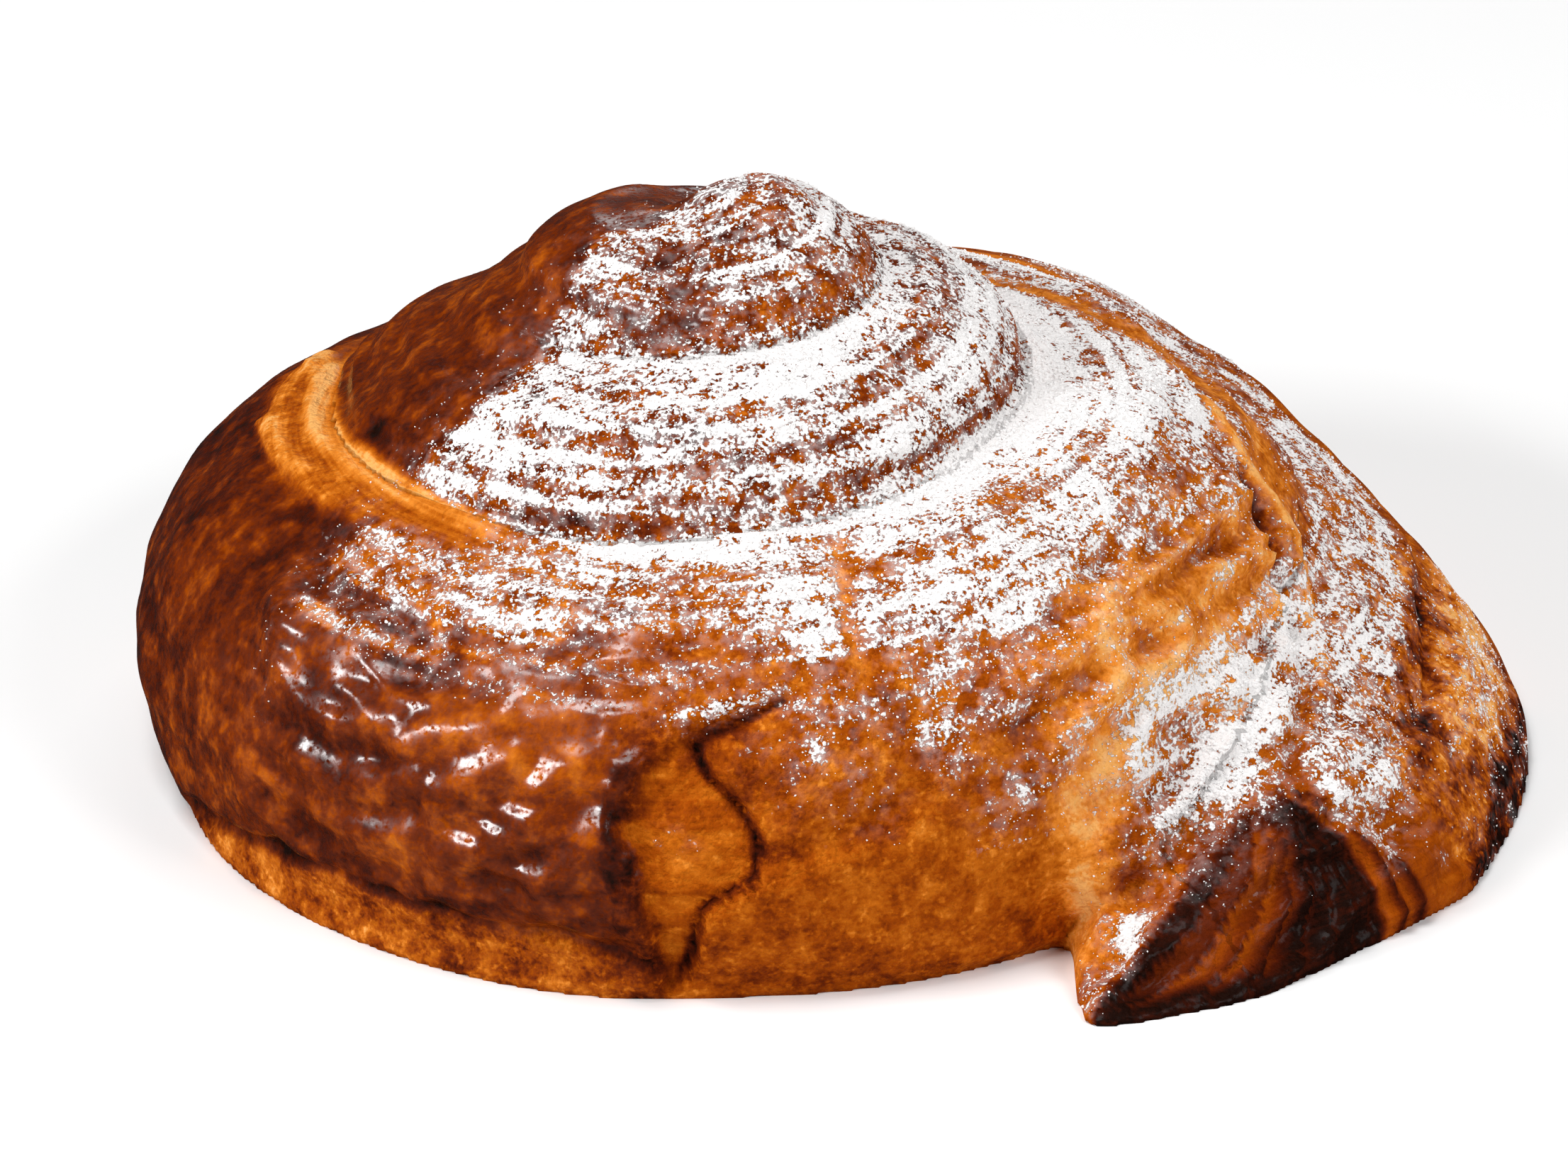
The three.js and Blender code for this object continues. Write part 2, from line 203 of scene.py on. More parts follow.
def roll_distance(x, y, z):
    """Signed distance to the whole roll, smooth where its parts meet."""
    reach = np.hypot(x, y)
    upper_left = band(np.degrees(np.arctan2(y, x)) % 360, *UPPER_LEFT_AZIMUTHS)
    coil = FAR_OFF
    tail = FAR_OFF
    for lap in range(LAPS):
        turn = turn_in_circle(x, y) + lap
        rope = section_distance(reach, z, turn)
        blend = TURN_BLEND + UPPER_LEFT_BLEND * upper_left * (lap == UPPER_LAP)
        coil = np.where(turn < TAIL_TURNS, coil, soft_min(coil, rope, blend))
        tail = np.where(turn < TAIL_TURNS, rope, tail)
    cut = soft_min(slope_height(CUT_SLOPE, x, y), slope_height(CUT_LEFT_SLOPE, x, y), SLOPE_BLEND)
    tail = -soft_min(-tail, (cut - z) * CUT_STEEPNESS, CUT_BLEND)

    wing = (z - wing_height(x, y)) * WING_STEEPNESS
    past_end = CUT_ALONG[0] * (x - CUT_TIP[0]) + CUT_ALONG[1] * (y - CUT_TIP[1]) - WING_LENGTH
    wing = -soft_min(-wing, -past_end, WING_BLEND)
    fillet = WING_BLEND + (WING_FILLET - WING_BLEND) * ease(z, *FILLET_HEIGHTS)
    roll = soft_min(soft_min(coil, wing, fillet), tail, TURN_BLEND)

    lip_share = (np.arctan2(y, x) - LIP_ANGLES[0]) / (LIP_ANGLES[1] - LIP_ANGLES[0])
    lip_reach = LIP_REACH - LIP_DRAWN_IN * (2 * lip_share - 1) ** 4
    lip = np.hypot((reach - lip_reach) / LIP_HALF_WIDTH, (z - LIP_RISE) / LIP_HALF_HEIGHT)
    roll = soft_min(roll, (lip - 1) * LIP_HALF_WIDTH, LIP_BLEND)

    knob = 0
    for value, centre, half_size in zip((x, y, z), KNOB_CENTRE, KNOB_HALF_SIZES):
        knob = knob + ((value - centre) / half_size) ** 2
    roll = soft_min(roll, (np.sqrt(knob) - 1) * min(KNOB_HALF_SIZES), KNOB_BLEND)

    crumb = (reach / CRUMB_RADIUS + z / CRUMB_HEIGHT - 1) * CRUMB_RADIUS * CRUMB_STEEPNESS
    return np.maximum(np.minimum(roll, crumb), -z)


def skin_of_roll():
    """Points and four-sided faces of the roll's outside, without the flat underside."""
    counts = np.ceil((SKIN_HIGH - SKIN_LOW) / SKIN_CELL).astype(int)
    axes = [low + SKIN_CELL * np.arange(count) for low, count in zip(SKIN_LOW, counts)]
    x, y, z = np.meshgrid(*axes, indexing="ij", sparse=True)
    grid = openvdb.FloatGrid(FAR_OFF)
    grid.copyFromArray(roll_distance(x, y, z).astype(np.float32))
    points, faces = grid.convertToQuads(0.0)
    points = SKIN_LOW + points.astype(float) * SKIN_CELL
    faces = faces.astype(int)
    under = points[:, 2] < SKIN_CELL * UNDERSIDE_CELLS
    points[under, 2] = 0
    faces = faces[~under[faces].all(axis=1)]
    kept, faces = np.unique(faces, return_inverse=True)
    return points[kept], faces.reshape(-1, 4)


def facing_of(points, faces):
    """Unit normals at the points."""
    first, second, third, fourth = (points[faces[:, corner]] for corner in range(4))
    across = np.cross(third - first, fourth - second)
    facing = np.zeros_like(points)
    for corner in range(4):
        for axis in range(3):
            facing[:, axis] += np.bincount(faces[:, corner], across[:, axis], len(points))
    return facing / np.linalg.norm(facing, axis=1, keepdims=True)


# The cylinder that places on the flank are measured on, up to an angle around the rope
FLANK_RADIUS = 50.0
FLANK_TOP = 100
NOISE_PERIOD = 64
LENGTH_STEPS = 400


def flank_arc(azimuth):
    """Length around the flank up to an azimuth."""
    return np.radians(azimuth) * FLANK_RADIUS


def soft_noise(places, seed):
    """Smooth random values from -1 to 1 with a lump about every unit, for rows of three numbers."""
    lattice = np.random.default_rng(seed).uniform(-1, 1, (NOISE_PERIOD,) * 3)
    cell = np.floor(places).astype(int)
    share = places - cell
    share = share * share * (3 - 2 * share)
    total = np.zeros(len(places))
    for corner in np.ndindex(2, 2, 2):
        weight = np.prod(np.where(corner, share, 1 - share), axis=1)
        total += weight * lattice[tuple(((cell + corner) % NOISE_PERIOD).T)]
    return total


def distance_to_line(u, v, line):
    """Distance from points to a line with a few corners."""
    nearest = np.full(np.shape(u), np.inf)
    for (u0, v0), (u1, v1) in zip(line, line[1:]):
        du = u1 - u0
        dv = v1 - v0
        share = np.clip(((u - u0) * du + (v - v0) * dv) / (du * du + dv * dv), 0, 1)
        nearest = np.minimum(nearest, np.hypot(u - u0 - share * du, v - v0 - share * dv))
    return nearest


class Skin:
    """The outside of the roll: where each point lies on the rope, how far the crust stands out there, how
    dark it is baked (0 is pale dough, 1 is burnt), how mottled, glossy and stretched it is, how thick
    sugar lies there, and where sieved sugar keeps off."""

    def __init__(self):
        self.points, self.faces = skin_of_roll()
        self.facing = facing_of(self.points, self.faces)
        self.x, self.y, self.z = self.points.T
        self.level = self.facing[:, 2]
        self.reach = np.hypot(self.x, self.y)
        self.azimuth = np.degrees(np.arctan2(self.y, self.x)) % 360
        turns = turn_in_circle(self.x, self.y) + np.arange(LAPS)[:, None]
        distances = section_distance(self.reach, self.z, turns)
        order = np.argsort(distances, axis=0)
        self.turn = np.take_along_axis(turns, order[:1], axis=0)[0]
        self.to_next_lap = np.take_along_axis(distances, order[1:2], axis=0)[0]
        outer, rise, half_width, half_height, _ = rope_at(self.turn)
        sideways = (self.reach - outer + half_width) / half_width
        self.around = np.degrees(np.arctan2((self.z - rise) / half_height, sideways))
        self.across = np.radians(self.around) * (half_width + half_height) / 2
        steps = np.linspace(0, ROPE_STATIONS[-1, 0], LENGTH_STEPS)
        middle = rope_at(steps)[0] - rope_at(steps)[2]
        lengths = np.cumsum(middle) * steps[1] * FULL_TURN
        self.along = np.interp(self.turn, steps, lengths)
        self.lift = np.zeros(len(self.points))
        self.bake = np.full(len(self.points), PLAIN_BAKE)
        self.mottle = np.full(len(self.points), PLAIN_MOTTLE)
        self.gloss = np.zeros(len(self.points))
        self.cover = np.zeros(len(self.points))
        self.bare = np.zeros(len(self.points))
        self.stretch = np.zeros(len(self.points))

    def lumps(self, *layers):
        """Lumps all over, in layers of a share, a size and a seed."""
        return sum(share * soft_noise(self.points / size, seed) for share, size, seed in layers)

    def streaks(self, *layers, drift=0):
        """Streaks along the rope, in layers of a share, a length, a width and a seed."""
        total = 0
        for share, length, width, seed in layers:
            places = np.stack((self.along / length, (self.across + drift) / width, 0 * self.along), axis=1)
            total = total + share * soft_noise(places, seed)
        return total

    def flank_distance(self, line):
        """Distance to a line of azimuths and heights on the outside of the coil."""
        flank_line = [(flank_arc(azimuth), height) for azimuth, height in line]
        distance = distance_to_line(flank_arc(self.azimuth), self.z, flank_line)
        return np.where(self.around > FLANK_TOP, FAR_OFF, distance)

    def plan_distance(self, line):
        """Distance to a line of X and Y, seen from above."""
        return distance_to_line(self.x, self.y, line)

    def near(self, place, radius):
        """1 at a place, falling off over a radius."""
        return np.exp(-((self.points - np.array(place)) ** 2).sum(axis=1) / radius**2)

    def within(self, **limits):
        """1 where each named value lies within its limits: two edges to ease in over, or out if they run
        downward, or four to ease in and out."""
        share = 1
        for name, edges in limits.items():
            fade = ease if len(edges) == 2 else band
            share = share * fade(getattr(self, name), *edges)
        return share

    def mark(self, share, lift=0, to_bake=None, bake=0, mottle=0, gloss=0, stretch=0, clear=0, cover=0):
        """Works a mark in by a share: its lift in millimetres, the baking it goes over to, baking added,
        the change of mottling and gloss, and the least stretch, bareness of sieved sugar and cover."""
        self.lift += lift * share
        if to_bake is not None:
            self.bake += (to_bake - self.bake) * share
        self.bake += bake * share
        self.mottle *= 1 + mottle * share
        self.gloss *= 1 + gloss * share
        self.stretch = np.maximum(self.stretch, stretch * share)
        self.bare = np.maximum(self.bare, clear * share)
        self.cover = np.maximum(self.cover, cover * share)

    def raise_crust(self):
        """Moves the points outward by their lift, less and less towards the flat underside."""
        lift = self.lift * ease(self.z, *FOOT_FADE)
        self.points = self.points + self.facing * lift[:, None]
        self.points[:, 2] = np.maximum(self.points[:, 2], 0)
        self.facing = facing_of(self.points, self.faces)
        self.x, self.y, self.z = self.points.T


# Sizes and places of the features. Azimuths and the angles around the rope are degrees. Lumps are a share,
# a size and a seed, and streaks along the rope are a share, a length, a width and a seed.

# Baking by the side of the coil
PLAIN_BAKE = 0.53
PLAIN_MOTTLE = 1.3
PLAIN_BLOTCH = (0.04, 9, 8)
COIL_LUMPS = [(0.55, 11, 1), (0.28, 5, 2)]
OUTER_TURNS = 1.25
GLAZED_BLOTCHES = [(0.05, 9, 8), (0.07, 4, 10)]
UPPER_LEFT_EDGE = (2, 10)
UPPER_LEFT_GLOSS = 0.8
FRONT_RIGHT_LUMPS = (0.12, 1.4, 7)
GLAZED_MOTTLE = 0.1


def outer_flank(skin):
    """The outside of the outermost turn, below its crest."""
    return skin.within(around=(80, 45)) * (skin.turn < OUTER_TURNS)


def sides_of_coil(skin):
    """The egg-washed left, the dark upper turns at the left and the plain front right."""
    glazed = skin.within(azimuth=(70, 125, 257, 262))
    upper = skin.within(turn=(1.1, 1.5))
    upper_left = ease(skin.y - skin.x, *UPPER_LEFT_EDGE) * skin.within(turn=(1.0, 1.3))
    front_right = skin.within(azimuth=(261, 267, 312, 326)) * outer_flank(skin)
    shoulder = skin.within(azimuth=(236, 252), z=(14, 22))
    far_left = skin.within(azimuth=(225, 205)) * outer_flank(skin)
    skin.mark(1, lift=skin.lumps(*COIL_LUMPS), bake=skin.lumps(PLAIN_BLOTCH))
    skin.mark(glazed, bake=0.22 + skin.lumps(*GLAZED_BLOTCHES))
    skin.mark((upper_left + upper) * (1 - glazed), bake=0.10)
    skin.mark(front_right, lift=skin.lumps(FRONT_RIGHT_LUMPS), bake=-0.05)
    skin.mark(front_right * skin.within(z=(10.0, 1.0)), bake=0.10)
    skin.mark(glazed * shoulder * (skin.turn < OUTER_TURNS), bake=-0.13)
    skin.mark(glazed * far_left, bake=0.06)
    skin.mottle += GLAZED_MOTTLE * (np.maximum(glazed, upper_left) - front_right)
    skin.gloss = np.maximum(glazed, UPPER_LEFT_GLOSS * upper_left)
    return glazed, front_right


# Low ridges of the dough layers
RIDGES = [(0.42, 17, 2.6, 3), (0.24, 11, 1.4, 4)]
LOST_AT_FRONT = 0.75
LOST_IN_GLAZE = 0.7


def layer_ridges(skin, glazed, front_right):
    """Low ridges along the rope, lower on the outer flank."""
    lost = np.maximum(LOST_AT_FRONT * front_right, LOST_IN_GLAZE * glazed * outer_flank(skin))
    skin.mark(1 - lost, lift=skin.streaks(*RIDGES))


# Soft folds on the front under the sugar, rising to the right, painted paler on their crests and darker in
# their hollows as light and shade
FOLD_RISE = 0.35
FOLD_SIZES = (9.0, 2.8, 1.0)
FOLD_SEED = 11
FOLD_SUGAR_CREST = (0.25, 0.8)


def front_folds(skin, front_right):
    """Soft slanting folds on the front, with sugar on their crests; the crests are painted paler and the
    hollows darker as light and shade.
    """
    arc = flank_arc(skin.azimuth)
    places = np.stack((arc + FOLD_RISE * skin.z, skin.z - FOLD_RISE * arc, 0 * arc), axis=1)
    folds = soft_noise(places / FOLD_SIZES, FOLD_SEED)
    crests = ease(folds, *FOLD_SUGAR_CREST) * skin.within(z=(13, 20))
    # Painted light and shade: the fold crests are baked paler and the hollows darker
    skin.mark(front_right * skin.within(z=(9.0, 15.0, 26.0, 30.0)) * folds, lift=0.8, bake=-0.12)
    skin.mark(front_right * crests, cover=0.24)


# Wrinkles in the egg-washed flank that catch the light, as azimuths and heights, and others between them,
# all painted paler on their crests as highlights
LIT_WRINKLES = [
    [(220.5, 20.6), (225, 19.3), (230, 19.2), (236, 20.4)],
    [(214, 24.2), (219, 23.4), (225, 23.6), (229, 24.4)],
    [(237.5, 19.4), (242, 21.0), (247, 22.9)],
    [(226, 15.4), (231, 14.6), (236, 15.6), (239.5, 17.3)],
    [(241.5, 16.2), (245, 17.6), (249, 20.0)],
    [(229, 11.4), (234, 11.0), (239, 12.2)],
    [(243, 11.5), (247, 12.8), (251, 15.4)],
    [(251.5, 18.2), (254.5, 20.4), (257, 21.6)],
    [(252, 10.2), (256, 13.4), (257.5, 15.6)],
]
LIT_WIDTH = 1.55
LIT_SWELLS = (0.2, 4, 12)
LIT_WANDER = (0.2, 3, 13)
WRINKLE_LEAST = 0.2
WRINKLE_DRIFT = (2.4, 6, 5)
WRINKLES = (2.4, 6.5, 3.2, 6)
FINE_WRINKLES = (2.4, 3.5, 1.9, 9)
LOST_BESIDE_LIT = 0.7


def left_wrinkles(skin, glazed):
    """Short curved wrinkles in the egg-washed flank, painted paler on their crests and darker in their
    hollows as highlight and shade.
    """
    share = WRINKLE_LEAST + (1 - WRINKLE_LEAST) * skin.within(azimuth=(205, 225))
    share = share * glazed * outer_flank(skin) * skin.within(z=(5, 10))
    drift = skin.lumps(WRINKLE_DRIFT)
    wrinkles = 1 - np.abs(skin.streaks(WRINKLES, drift=drift))
    fine = 1 - np.abs(skin.streaks(FINE_WRINKLES, drift=drift))
    width = LIT_WIDTH * (1 + skin.lumps(LIT_SWELLS))
    wander = skin.lumps(LIT_WANDER)
    lit = 0
    for line in LIT_WRINKLES:
        lit = np.maximum(lit, hump(skin.flank_distance(line) + wander, 0, width))
    skin.mark(share * (1 - LOST_BESIDE_LIT * lit), lift=0.40 * wrinkles + 0.08 * fine)
    # Painted highlight and shade: wrinkle crests are baked paler and hollows darker, and the lit wrinkles
    # paler still
    skin.mark(share * wrinkles, bake=-0.07)
    skin.mark(share * lit, bake=-0.06)
    skin.mark(lit, lift=0.9)


# The split in the front, from the foot up: its heights, and the azimuths of its right and torn left edges
SPLIT_HEIGHTS = (0.0, 1.0, 3.7, 5.6, 8.4, 9.5, 12.2, 14.3, 15.5, 18.0, 20.3, 22.9, 25.0)
SPLIT_RIGHT = (263.0, 264.0, 265.2, 265.6, 266.4, 267.1, 271.2, 271.8, 271.4, 269.9, 266.6, 265.4, 264.5)
SPLIT_LEFT = (262.6, 262.8, 262.4, 262.0, 261.4, 261.0, 260.1, 259.7, 259.2, 259.4, 261.0, 263.2, 264.0)
RIGHT_WANDER = (0.25, 2.1, 23)
LEFT_WANDER = [(0.8, 1.9, 21), (0.4, 0.9, 22)]
SPLIT_REACH = 38.0
SPLIT_EDGE = (-0.2, 0.9)
SPLIT_GRAIN = (1, 6, 0.9, 24)
CREVICE_PLACE = 0.2
CREVICE_WIDTH = 0.5
TORN_PLACE = -0.9
TORN_WIDTH = 1.1
TORN_LINE_PLACE = 0.3
TORN_LINE_WIDTH = 0.45


def front_split(skin):
    """The crust torn open at the front: a paler window between a torn left edge and a sunk crevice painted
    dark as its shade.
    """
    arc = flank_arc(skin.azimuth)
    outside = skin.reach > SPLIT_REACH
    right = flank_arc(np.interp(skin.z, SPLIT_HEIGHTS, SPLIT_RIGHT)) + skin.lumps(RIGHT_WANDER)
    left = flank_arc(np.interp(skin.z, SPLIT_HEIGHTS, SPLIT_LEFT)) + skin.lumps(*LEFT_WANDER)
    span = skin.within(z=(24.0, 20.5)) * outside
    window = ease(np.minimum(arc - left, right - arc), *SPLIT_EDGE) * span
    crevice = hump(arc, right + CREVICE_PLACE, CREVICE_WIDTH) * skin.within(z=(0.3, 3, 21, 24)) * outside
    grain = skin.streaks(SPLIT_GRAIN)
    skin.mark(window, lift=0.25 * grain - 1.1, to_bake=0.50 + 0.15 * grain)
    skin.mark(window, mottle=-0.3, gloss=-1, stretch=0.3)
    # Painted shade: the sunk crevice is also baked dark to stand for the shadow in it
    skin.mark(crevice, lift=-1.4, bake=0.40)
    skin.mark(hump(arc, left + TORN_PLACE, TORN_WIDTH) * span, lift=0.5, bake=0.24)
    skin.mark(hump(arc, left + TORN_LINE_PLACE, TORN_LINE_WIDTH) * span, bake=0.2)


# The lip under the left flank, and the crease above it as azimuths and heights; the crease and a band just
# over the lip are painted darker as shade
LIP_CREASE = [(203, 2.0), (207, 2.8), (219.5, 4.9), (230, 6.0), (242, 5.8), (254.2, 5.2), (262, 3.6)]
CREASE_WANDER = (0.9, 3, 31)
CREASE_WIDTH = 0.8
CREASE_SHADE_WIDTH = 0.9
CREASE_SHADE_LEVEL = 0.6
CREASE_SHADE_GAPS = (0.9, 6, 32)
LIP_TOP_WANDER = (0.9, 5, 37)
LIP_TOP_EDGE = 1.2
LIP_BLOTCHES = (0.08, 3.4, 38)
LIP_SHADE_RISE = 1.2
LIP_SHADE_WIDTH = 1.6


def lip_at_foot(skin):
    """The paler lip under the left flank, with broken painted shade in the crease above it and in a band
    over it.
    """
    flank = outer_flank(skin)
    crease = skin.flank_distance(LIP_CREASE) + skin.lumps(CREASE_WANDER)
    broken = CREASE_SHADE_LEVEL + skin.lumps(CREASE_SHADE_GAPS)
    top = np.interp(skin.azimuth, *np.array(LIP_CREASE).T) + skin.lumps(LIP_TOP_WANDER)
    lip = skin.within(azimuth=(198, 206, 258, 264)) * (1 - ease(skin.z, top - LIP_TOP_EDGE, top)) * flank
    shade = hump(skin.z, top + LIP_SHADE_RISE, LIP_SHADE_WIDTH) * flank
    shade = shade * skin.within(azimuth=(232, 246, 256, 263))
    skin.mark(lip, to_bake=0.49 + skin.lumps(LIP_BLOTCHES), mottle=0.35, gloss=-0.9)
    skin.mark(hump(crease, 0, CREASE_WIDTH), lift=-0.9)
    # Painted shade: the crease and the band over the lip are baked darker, broken into patches
    skin.mark(hump(crease, 0, CREASE_SHADE_WIDTH) * broken, bake=0.20)
    skin.mark(shade * broken, bake=0.12)


# The fold over the split that catches sugar, the crease under it painted dark as the fold's shadow, and
# smears, as azimuths and heights
SUGAR_FOLD = [(262.9, 24.0), (266.7, 24.5), (270.4, 25.2), (274.5, 26.2)]
FOLD_CREASE = [(265.7, 22.3), (267.1, 23.3), (270.4, 24.3), (274.8, 25.5)]
FOLD_WIDTH = 0.55
FOLD_NARROWING = 0.3
FOLD_WANDER = (0.25, 1.6, 33)
FRONT_SMEARS = [
    [(277, 24.0), (284, 24.6)],
    [(287, 25.8), (290.5, 23.6), (290.5, 20.8)],
    [(295, 15.6), (299, 16.6), (302.5, 18.6)],
    [(295, 24.0), (300, 22.5)],
    [(303.5, 20.3), (306.5, 21.8)],
]
SMEAR_WIDTH = 1.8
SMEAR_WANDER = (0.6, 2.5, 36)
SMEAR_SHARE = 0.55
SMEAR_PATCHES = [(0.45, 2.2, 34), (0.3, 1.1, 35)]


def fold_over_split(skin):
    """The fold over the split, the crease under it painted dark as its shadow, and smears of sugar on the
    front.
    """
    width = FOLD_WIDTH - FOLD_NARROWING * skin.within(azimuth=(264, 275))
    fold = hump(skin.flank_distance(SUGAR_FOLD) + skin.lumps(FOLD_WANDER), 0, width)
    skin.mark(fold, lift=0.7, cover=0.62)
    # Painted shadow: the crease under the fold is baked darker
    skin.mark(hump(skin.flank_distance(FOLD_CREASE), 0, width), lift=-0.6, bake=0.28)
    patchy = SMEAR_SHARE + skin.lumps(*SMEAR_PATCHES)
    wander = skin.lumps(SMEAR_WANDER)
    for line in FRONT_SMEARS:
        smear = hump(skin.flank_distance(line) + wander, 0, SMEAR_WIDTH)
        skin.mark(smear, lift=0.25, cover=0.55 * patchy)


# Stretched dough in the groove inside the outermost turn
GROOVE_EDGE = (1.0, 6.0)
GROOVE_STREAKS = (1, 22, 1.7, 41)
GROOVE_WANDER = 1.5

# An orange bed and two pale strands on it in that groove at the left: width, baking, and a line of X and Y
STRANDS = [
    (2.6, 0.44, [(-39, 10), (-38.8, -0.4), (-37.4, -8), (-34.7, -14.6), (-31.2, -18.3), (-28.2, -21.4),
                 (-22, -27)]),
    (1.0, 0.24, [(-41.5, 2), (-39.3, -6.6), (-37, -12.5)]),
    (1.3, 0.15, [(-36.7, 13), (-36.1, 1), (-35.5, -4.6), (-33.6, -10.8), (-28.6, -18.9), (-22.6, -25.2),
                 (-17, -29.5)]),
]
STRAND_EDGE = np.array((0.5, 1.3))
STRAND_WANDER = 0.4


def stretched_grooves(skin):
    """Pale stretched dough between the outermost turn and the next, in streaks along the rope."""
    streak = skin.streaks(GROOVE_STREAKS)
    groove = 1 - ease(skin.to_next_lap + GROOVE_WANDER * streak, *GROOVE_EDGE)
    groove = groove * skin.within(turn=(0.14, 0.22, 0.74, 0.84), around=(60, 85))
    skin.mark(groove, to_bake=0.46 + 0.30 * streak, mottle=-0.6)
    at_left = skin.within(z=(23.0, 24.0, 31.0, 32.4), x=(-15.0, -23.0))
    for width, bake, line in STRANDS:
        distance = skin.plan_distance(line) + STRAND_WANDER * streak
        strand = (1 - ease(distance, *STRAND_EDGE * width)) * at_left
        skin.mark(strand, lift=0.4, to_bake=bake + 0.20 * streak)
        groove = np.maximum(groove, strand)
    skin.mark(groove, gloss=-0.95, stretch=1, clear=1)


# Where the free end leaves the coil, as X and Y
SEAM_FROM_X = 15.0
SEAM_TURNS = 1.35
ORANGE_BAND = [(20, 17), (26, 13), (33.5, 7.4), (38.1, 4.4), (41.3, -0.4), (44, -4), (45, -9)]
ORANGE_WIDTH = 2.0
ORANGE_BAKE = 0.30
PALE_STRIP = [
    (39.5, -3), (42.2, -9.4), (44.1, -10.8), (46.4, -13), (47.9, -15.9), (48.6, -21.5), (48.4, -25),
]
PALE_WIDTH = 0.8
PALE_BAKE = 0.12
SEAM = [
    (42.5, -10.8), (43.7, -13.2), (45.1, -16.8), (47.1, -18.7), (47.8, -23.8), (46.5, -29.6), (45.6, -34.1),
]
SEAM_WIDTH = 0.7
RIDGE_SUGAR = [(50, 10), (51.8, 0), (52.3, -7.6), (51.8, -16), (51, -24), (50, -30), (50, -33)]
RIDGE_EDGE = (3.4, 5.4)
RIDGE_WANDER = (1.2, 2.4, 42)
RIDGE_PATCHES = [(0.5, 2.1, 43), (0.25, 1.1, 44)]


def seam_of_free_end(skin):
    """Where the free end leaves the coil: an orange band, a dark seam and a thin pale strip beside it."""
    right_side = (skin.x > SEAM_FROM_X) * (skin.turn < SEAM_TURNS)
    orange = hump(skin.plan_distance(ORANGE_BAND), 0, ORANGE_WIDTH) * right_side
    pale = hump(skin.plan_distance(PALE_STRIP), 0, PALE_WIDTH) * right_side
    seam = hump(skin.plan_distance(SEAM), 0, SEAM_WIDTH) * right_side
    skin.bake += (ORANGE_BAKE - skin.bake) * orange + (PALE_BAKE - skin.bake) * pale
    skin.mark(orange, lift=-0.3, stretch=0.7, clear=1)
    skin.mark(pale, lift=0.35, clear=1)
    skin.mark(seam, lift=-1.2, bake=0.45, clear=1)
    ridge = skin.plan_distance(RIDGE_SUGAR) + skin.lumps(RIDGE_WANDER)
    ridge = (1 - ease(ridge, *RIDGE_EDGE)) * (1 + skin.lumps(*RIDGE_PATCHES))
    skin.mark(ridge * (skin.turn < TAIL_TURNS) * (1 - seam) * (1 - pale), cover=0.52)


# Dough pulled out between the coil's flank and the free end, and the sugar heaped on it, as X and Y
VALLEY = [(28.5, -43.5), (31.9, -38), (38.8, -29.4), (45.2, -19.5)]
VALLEY_WIDTH = 2.6
WING_TOP = (1, 2.5)
WING_PALE = 0.6
PULLED_SUGAR = (0.2, 1.1)
RIB_LEAN = 0.8
RIB_WANDER = (1.2, 5, 52)
RIB_STEEPNESS = 3.0
RIB_SIZES = (3.0, 10.0, 10.0)
RIB_SEED = 51
RIB_CREST = 2.2
WING_SUGAR = [
    (4.2, [(46.5, -19), (45.5, -22.5), (42.5, -29.3), (39.7, -33.7), (35.0, -38.0)]),
    (1.3, [(32.2, -45.6), (30.4, -49.2)]),
]
HEAP_CLUMPS = (0.9, 2.6, 53)
HEAP_COVER = 0.46
HEAP_CLUMP_COVER = 0.50
HEAP_CLUMP_EDGE = (-0.4, 0.6)
HEAP_TOP = 23.0
HEAP_LUMPS = [(0.5, 2.0, 54), (0.3, 1.1, 55)]


def ribs_up_slope(skin):
    """Folds that run up the free end's slope, from 1 on their crests down."""
    across = skin.x - RIB_LEAN * skin.y + skin.lumps(RIB_WANDER)
    places = np.stack((across, skin.x + skin.y, RIB_STEEPNESS * skin.z), axis=1)
    return 1 - RIB_CREST * np.abs(soft_noise(places / RIB_SIZES, RIB_SEED))


def valley_of_free_end(skin):
    """Stretched orange dough between the coil's flank and the free end, in folds painted paler on their
    crests and darker between them as light and shade, with heaped sugar.
    """
    ribs = ribs_up_slope(skin)
    clumps = ribs + skin.lumps(HEAP_CLUMPS)
    valley = hump(skin.plan_distance(VALLEY), 0, VALLEY_WIDTH) * skin.within(z=(2, 5))
    wing = 1 - ease(np.abs(skin.z - wing_height(skin.x, skin.y)), *WING_TOP)
    wing = wing * skin.within(reach=(48, 50.5), azimuth=(296, 302, 338, 344))
    flank = skin.within(azimuth=(296, 310, 340, 350), reach=(40.0, 44.5), z=(8, 14))
    flank = flank * (skin.turn > TAIL_TURNS) * (skin.turn < OUTER_TURNS)
    opened = np.maximum(valley, wing)
    # Painted light and shade: the pale dough is baked paler on the ribs' crests and darker between them
    skin.mark(np.maximum(valley, WING_PALE * wing), to_bake=0.17 - 0.20 * ribs)
    skin.mark(flank * (1 - valley), bake=-0.04 - 0.26 * ribs)
    skin.mark(np.maximum(opened, flank), lift=1.05 * (ribs - 0.4), stretch=0.4)
    skin.mark(opened, clear=0.9 - 0.3 * ribs)
    skin.mark(flank * ease(clumps, *PULLED_SUGAR), cover=0.22)
    heap = 0
    for width, line in WING_SUGAR:
        heap = np.maximum(heap, hump(skin.plan_distance(line), 0, width))
    heap = heap * (HEAP_COVER + HEAP_CLUMP_COVER * ease(clumps, *HEAP_CLUMP_EDGE))
    heap = heap * skin.within(reach=(47, 49.5)) * (skin.z < HEAP_TOP)
    skin.mark(heap, lift=skin.lumps(*HEAP_LUMPS), cover=1)


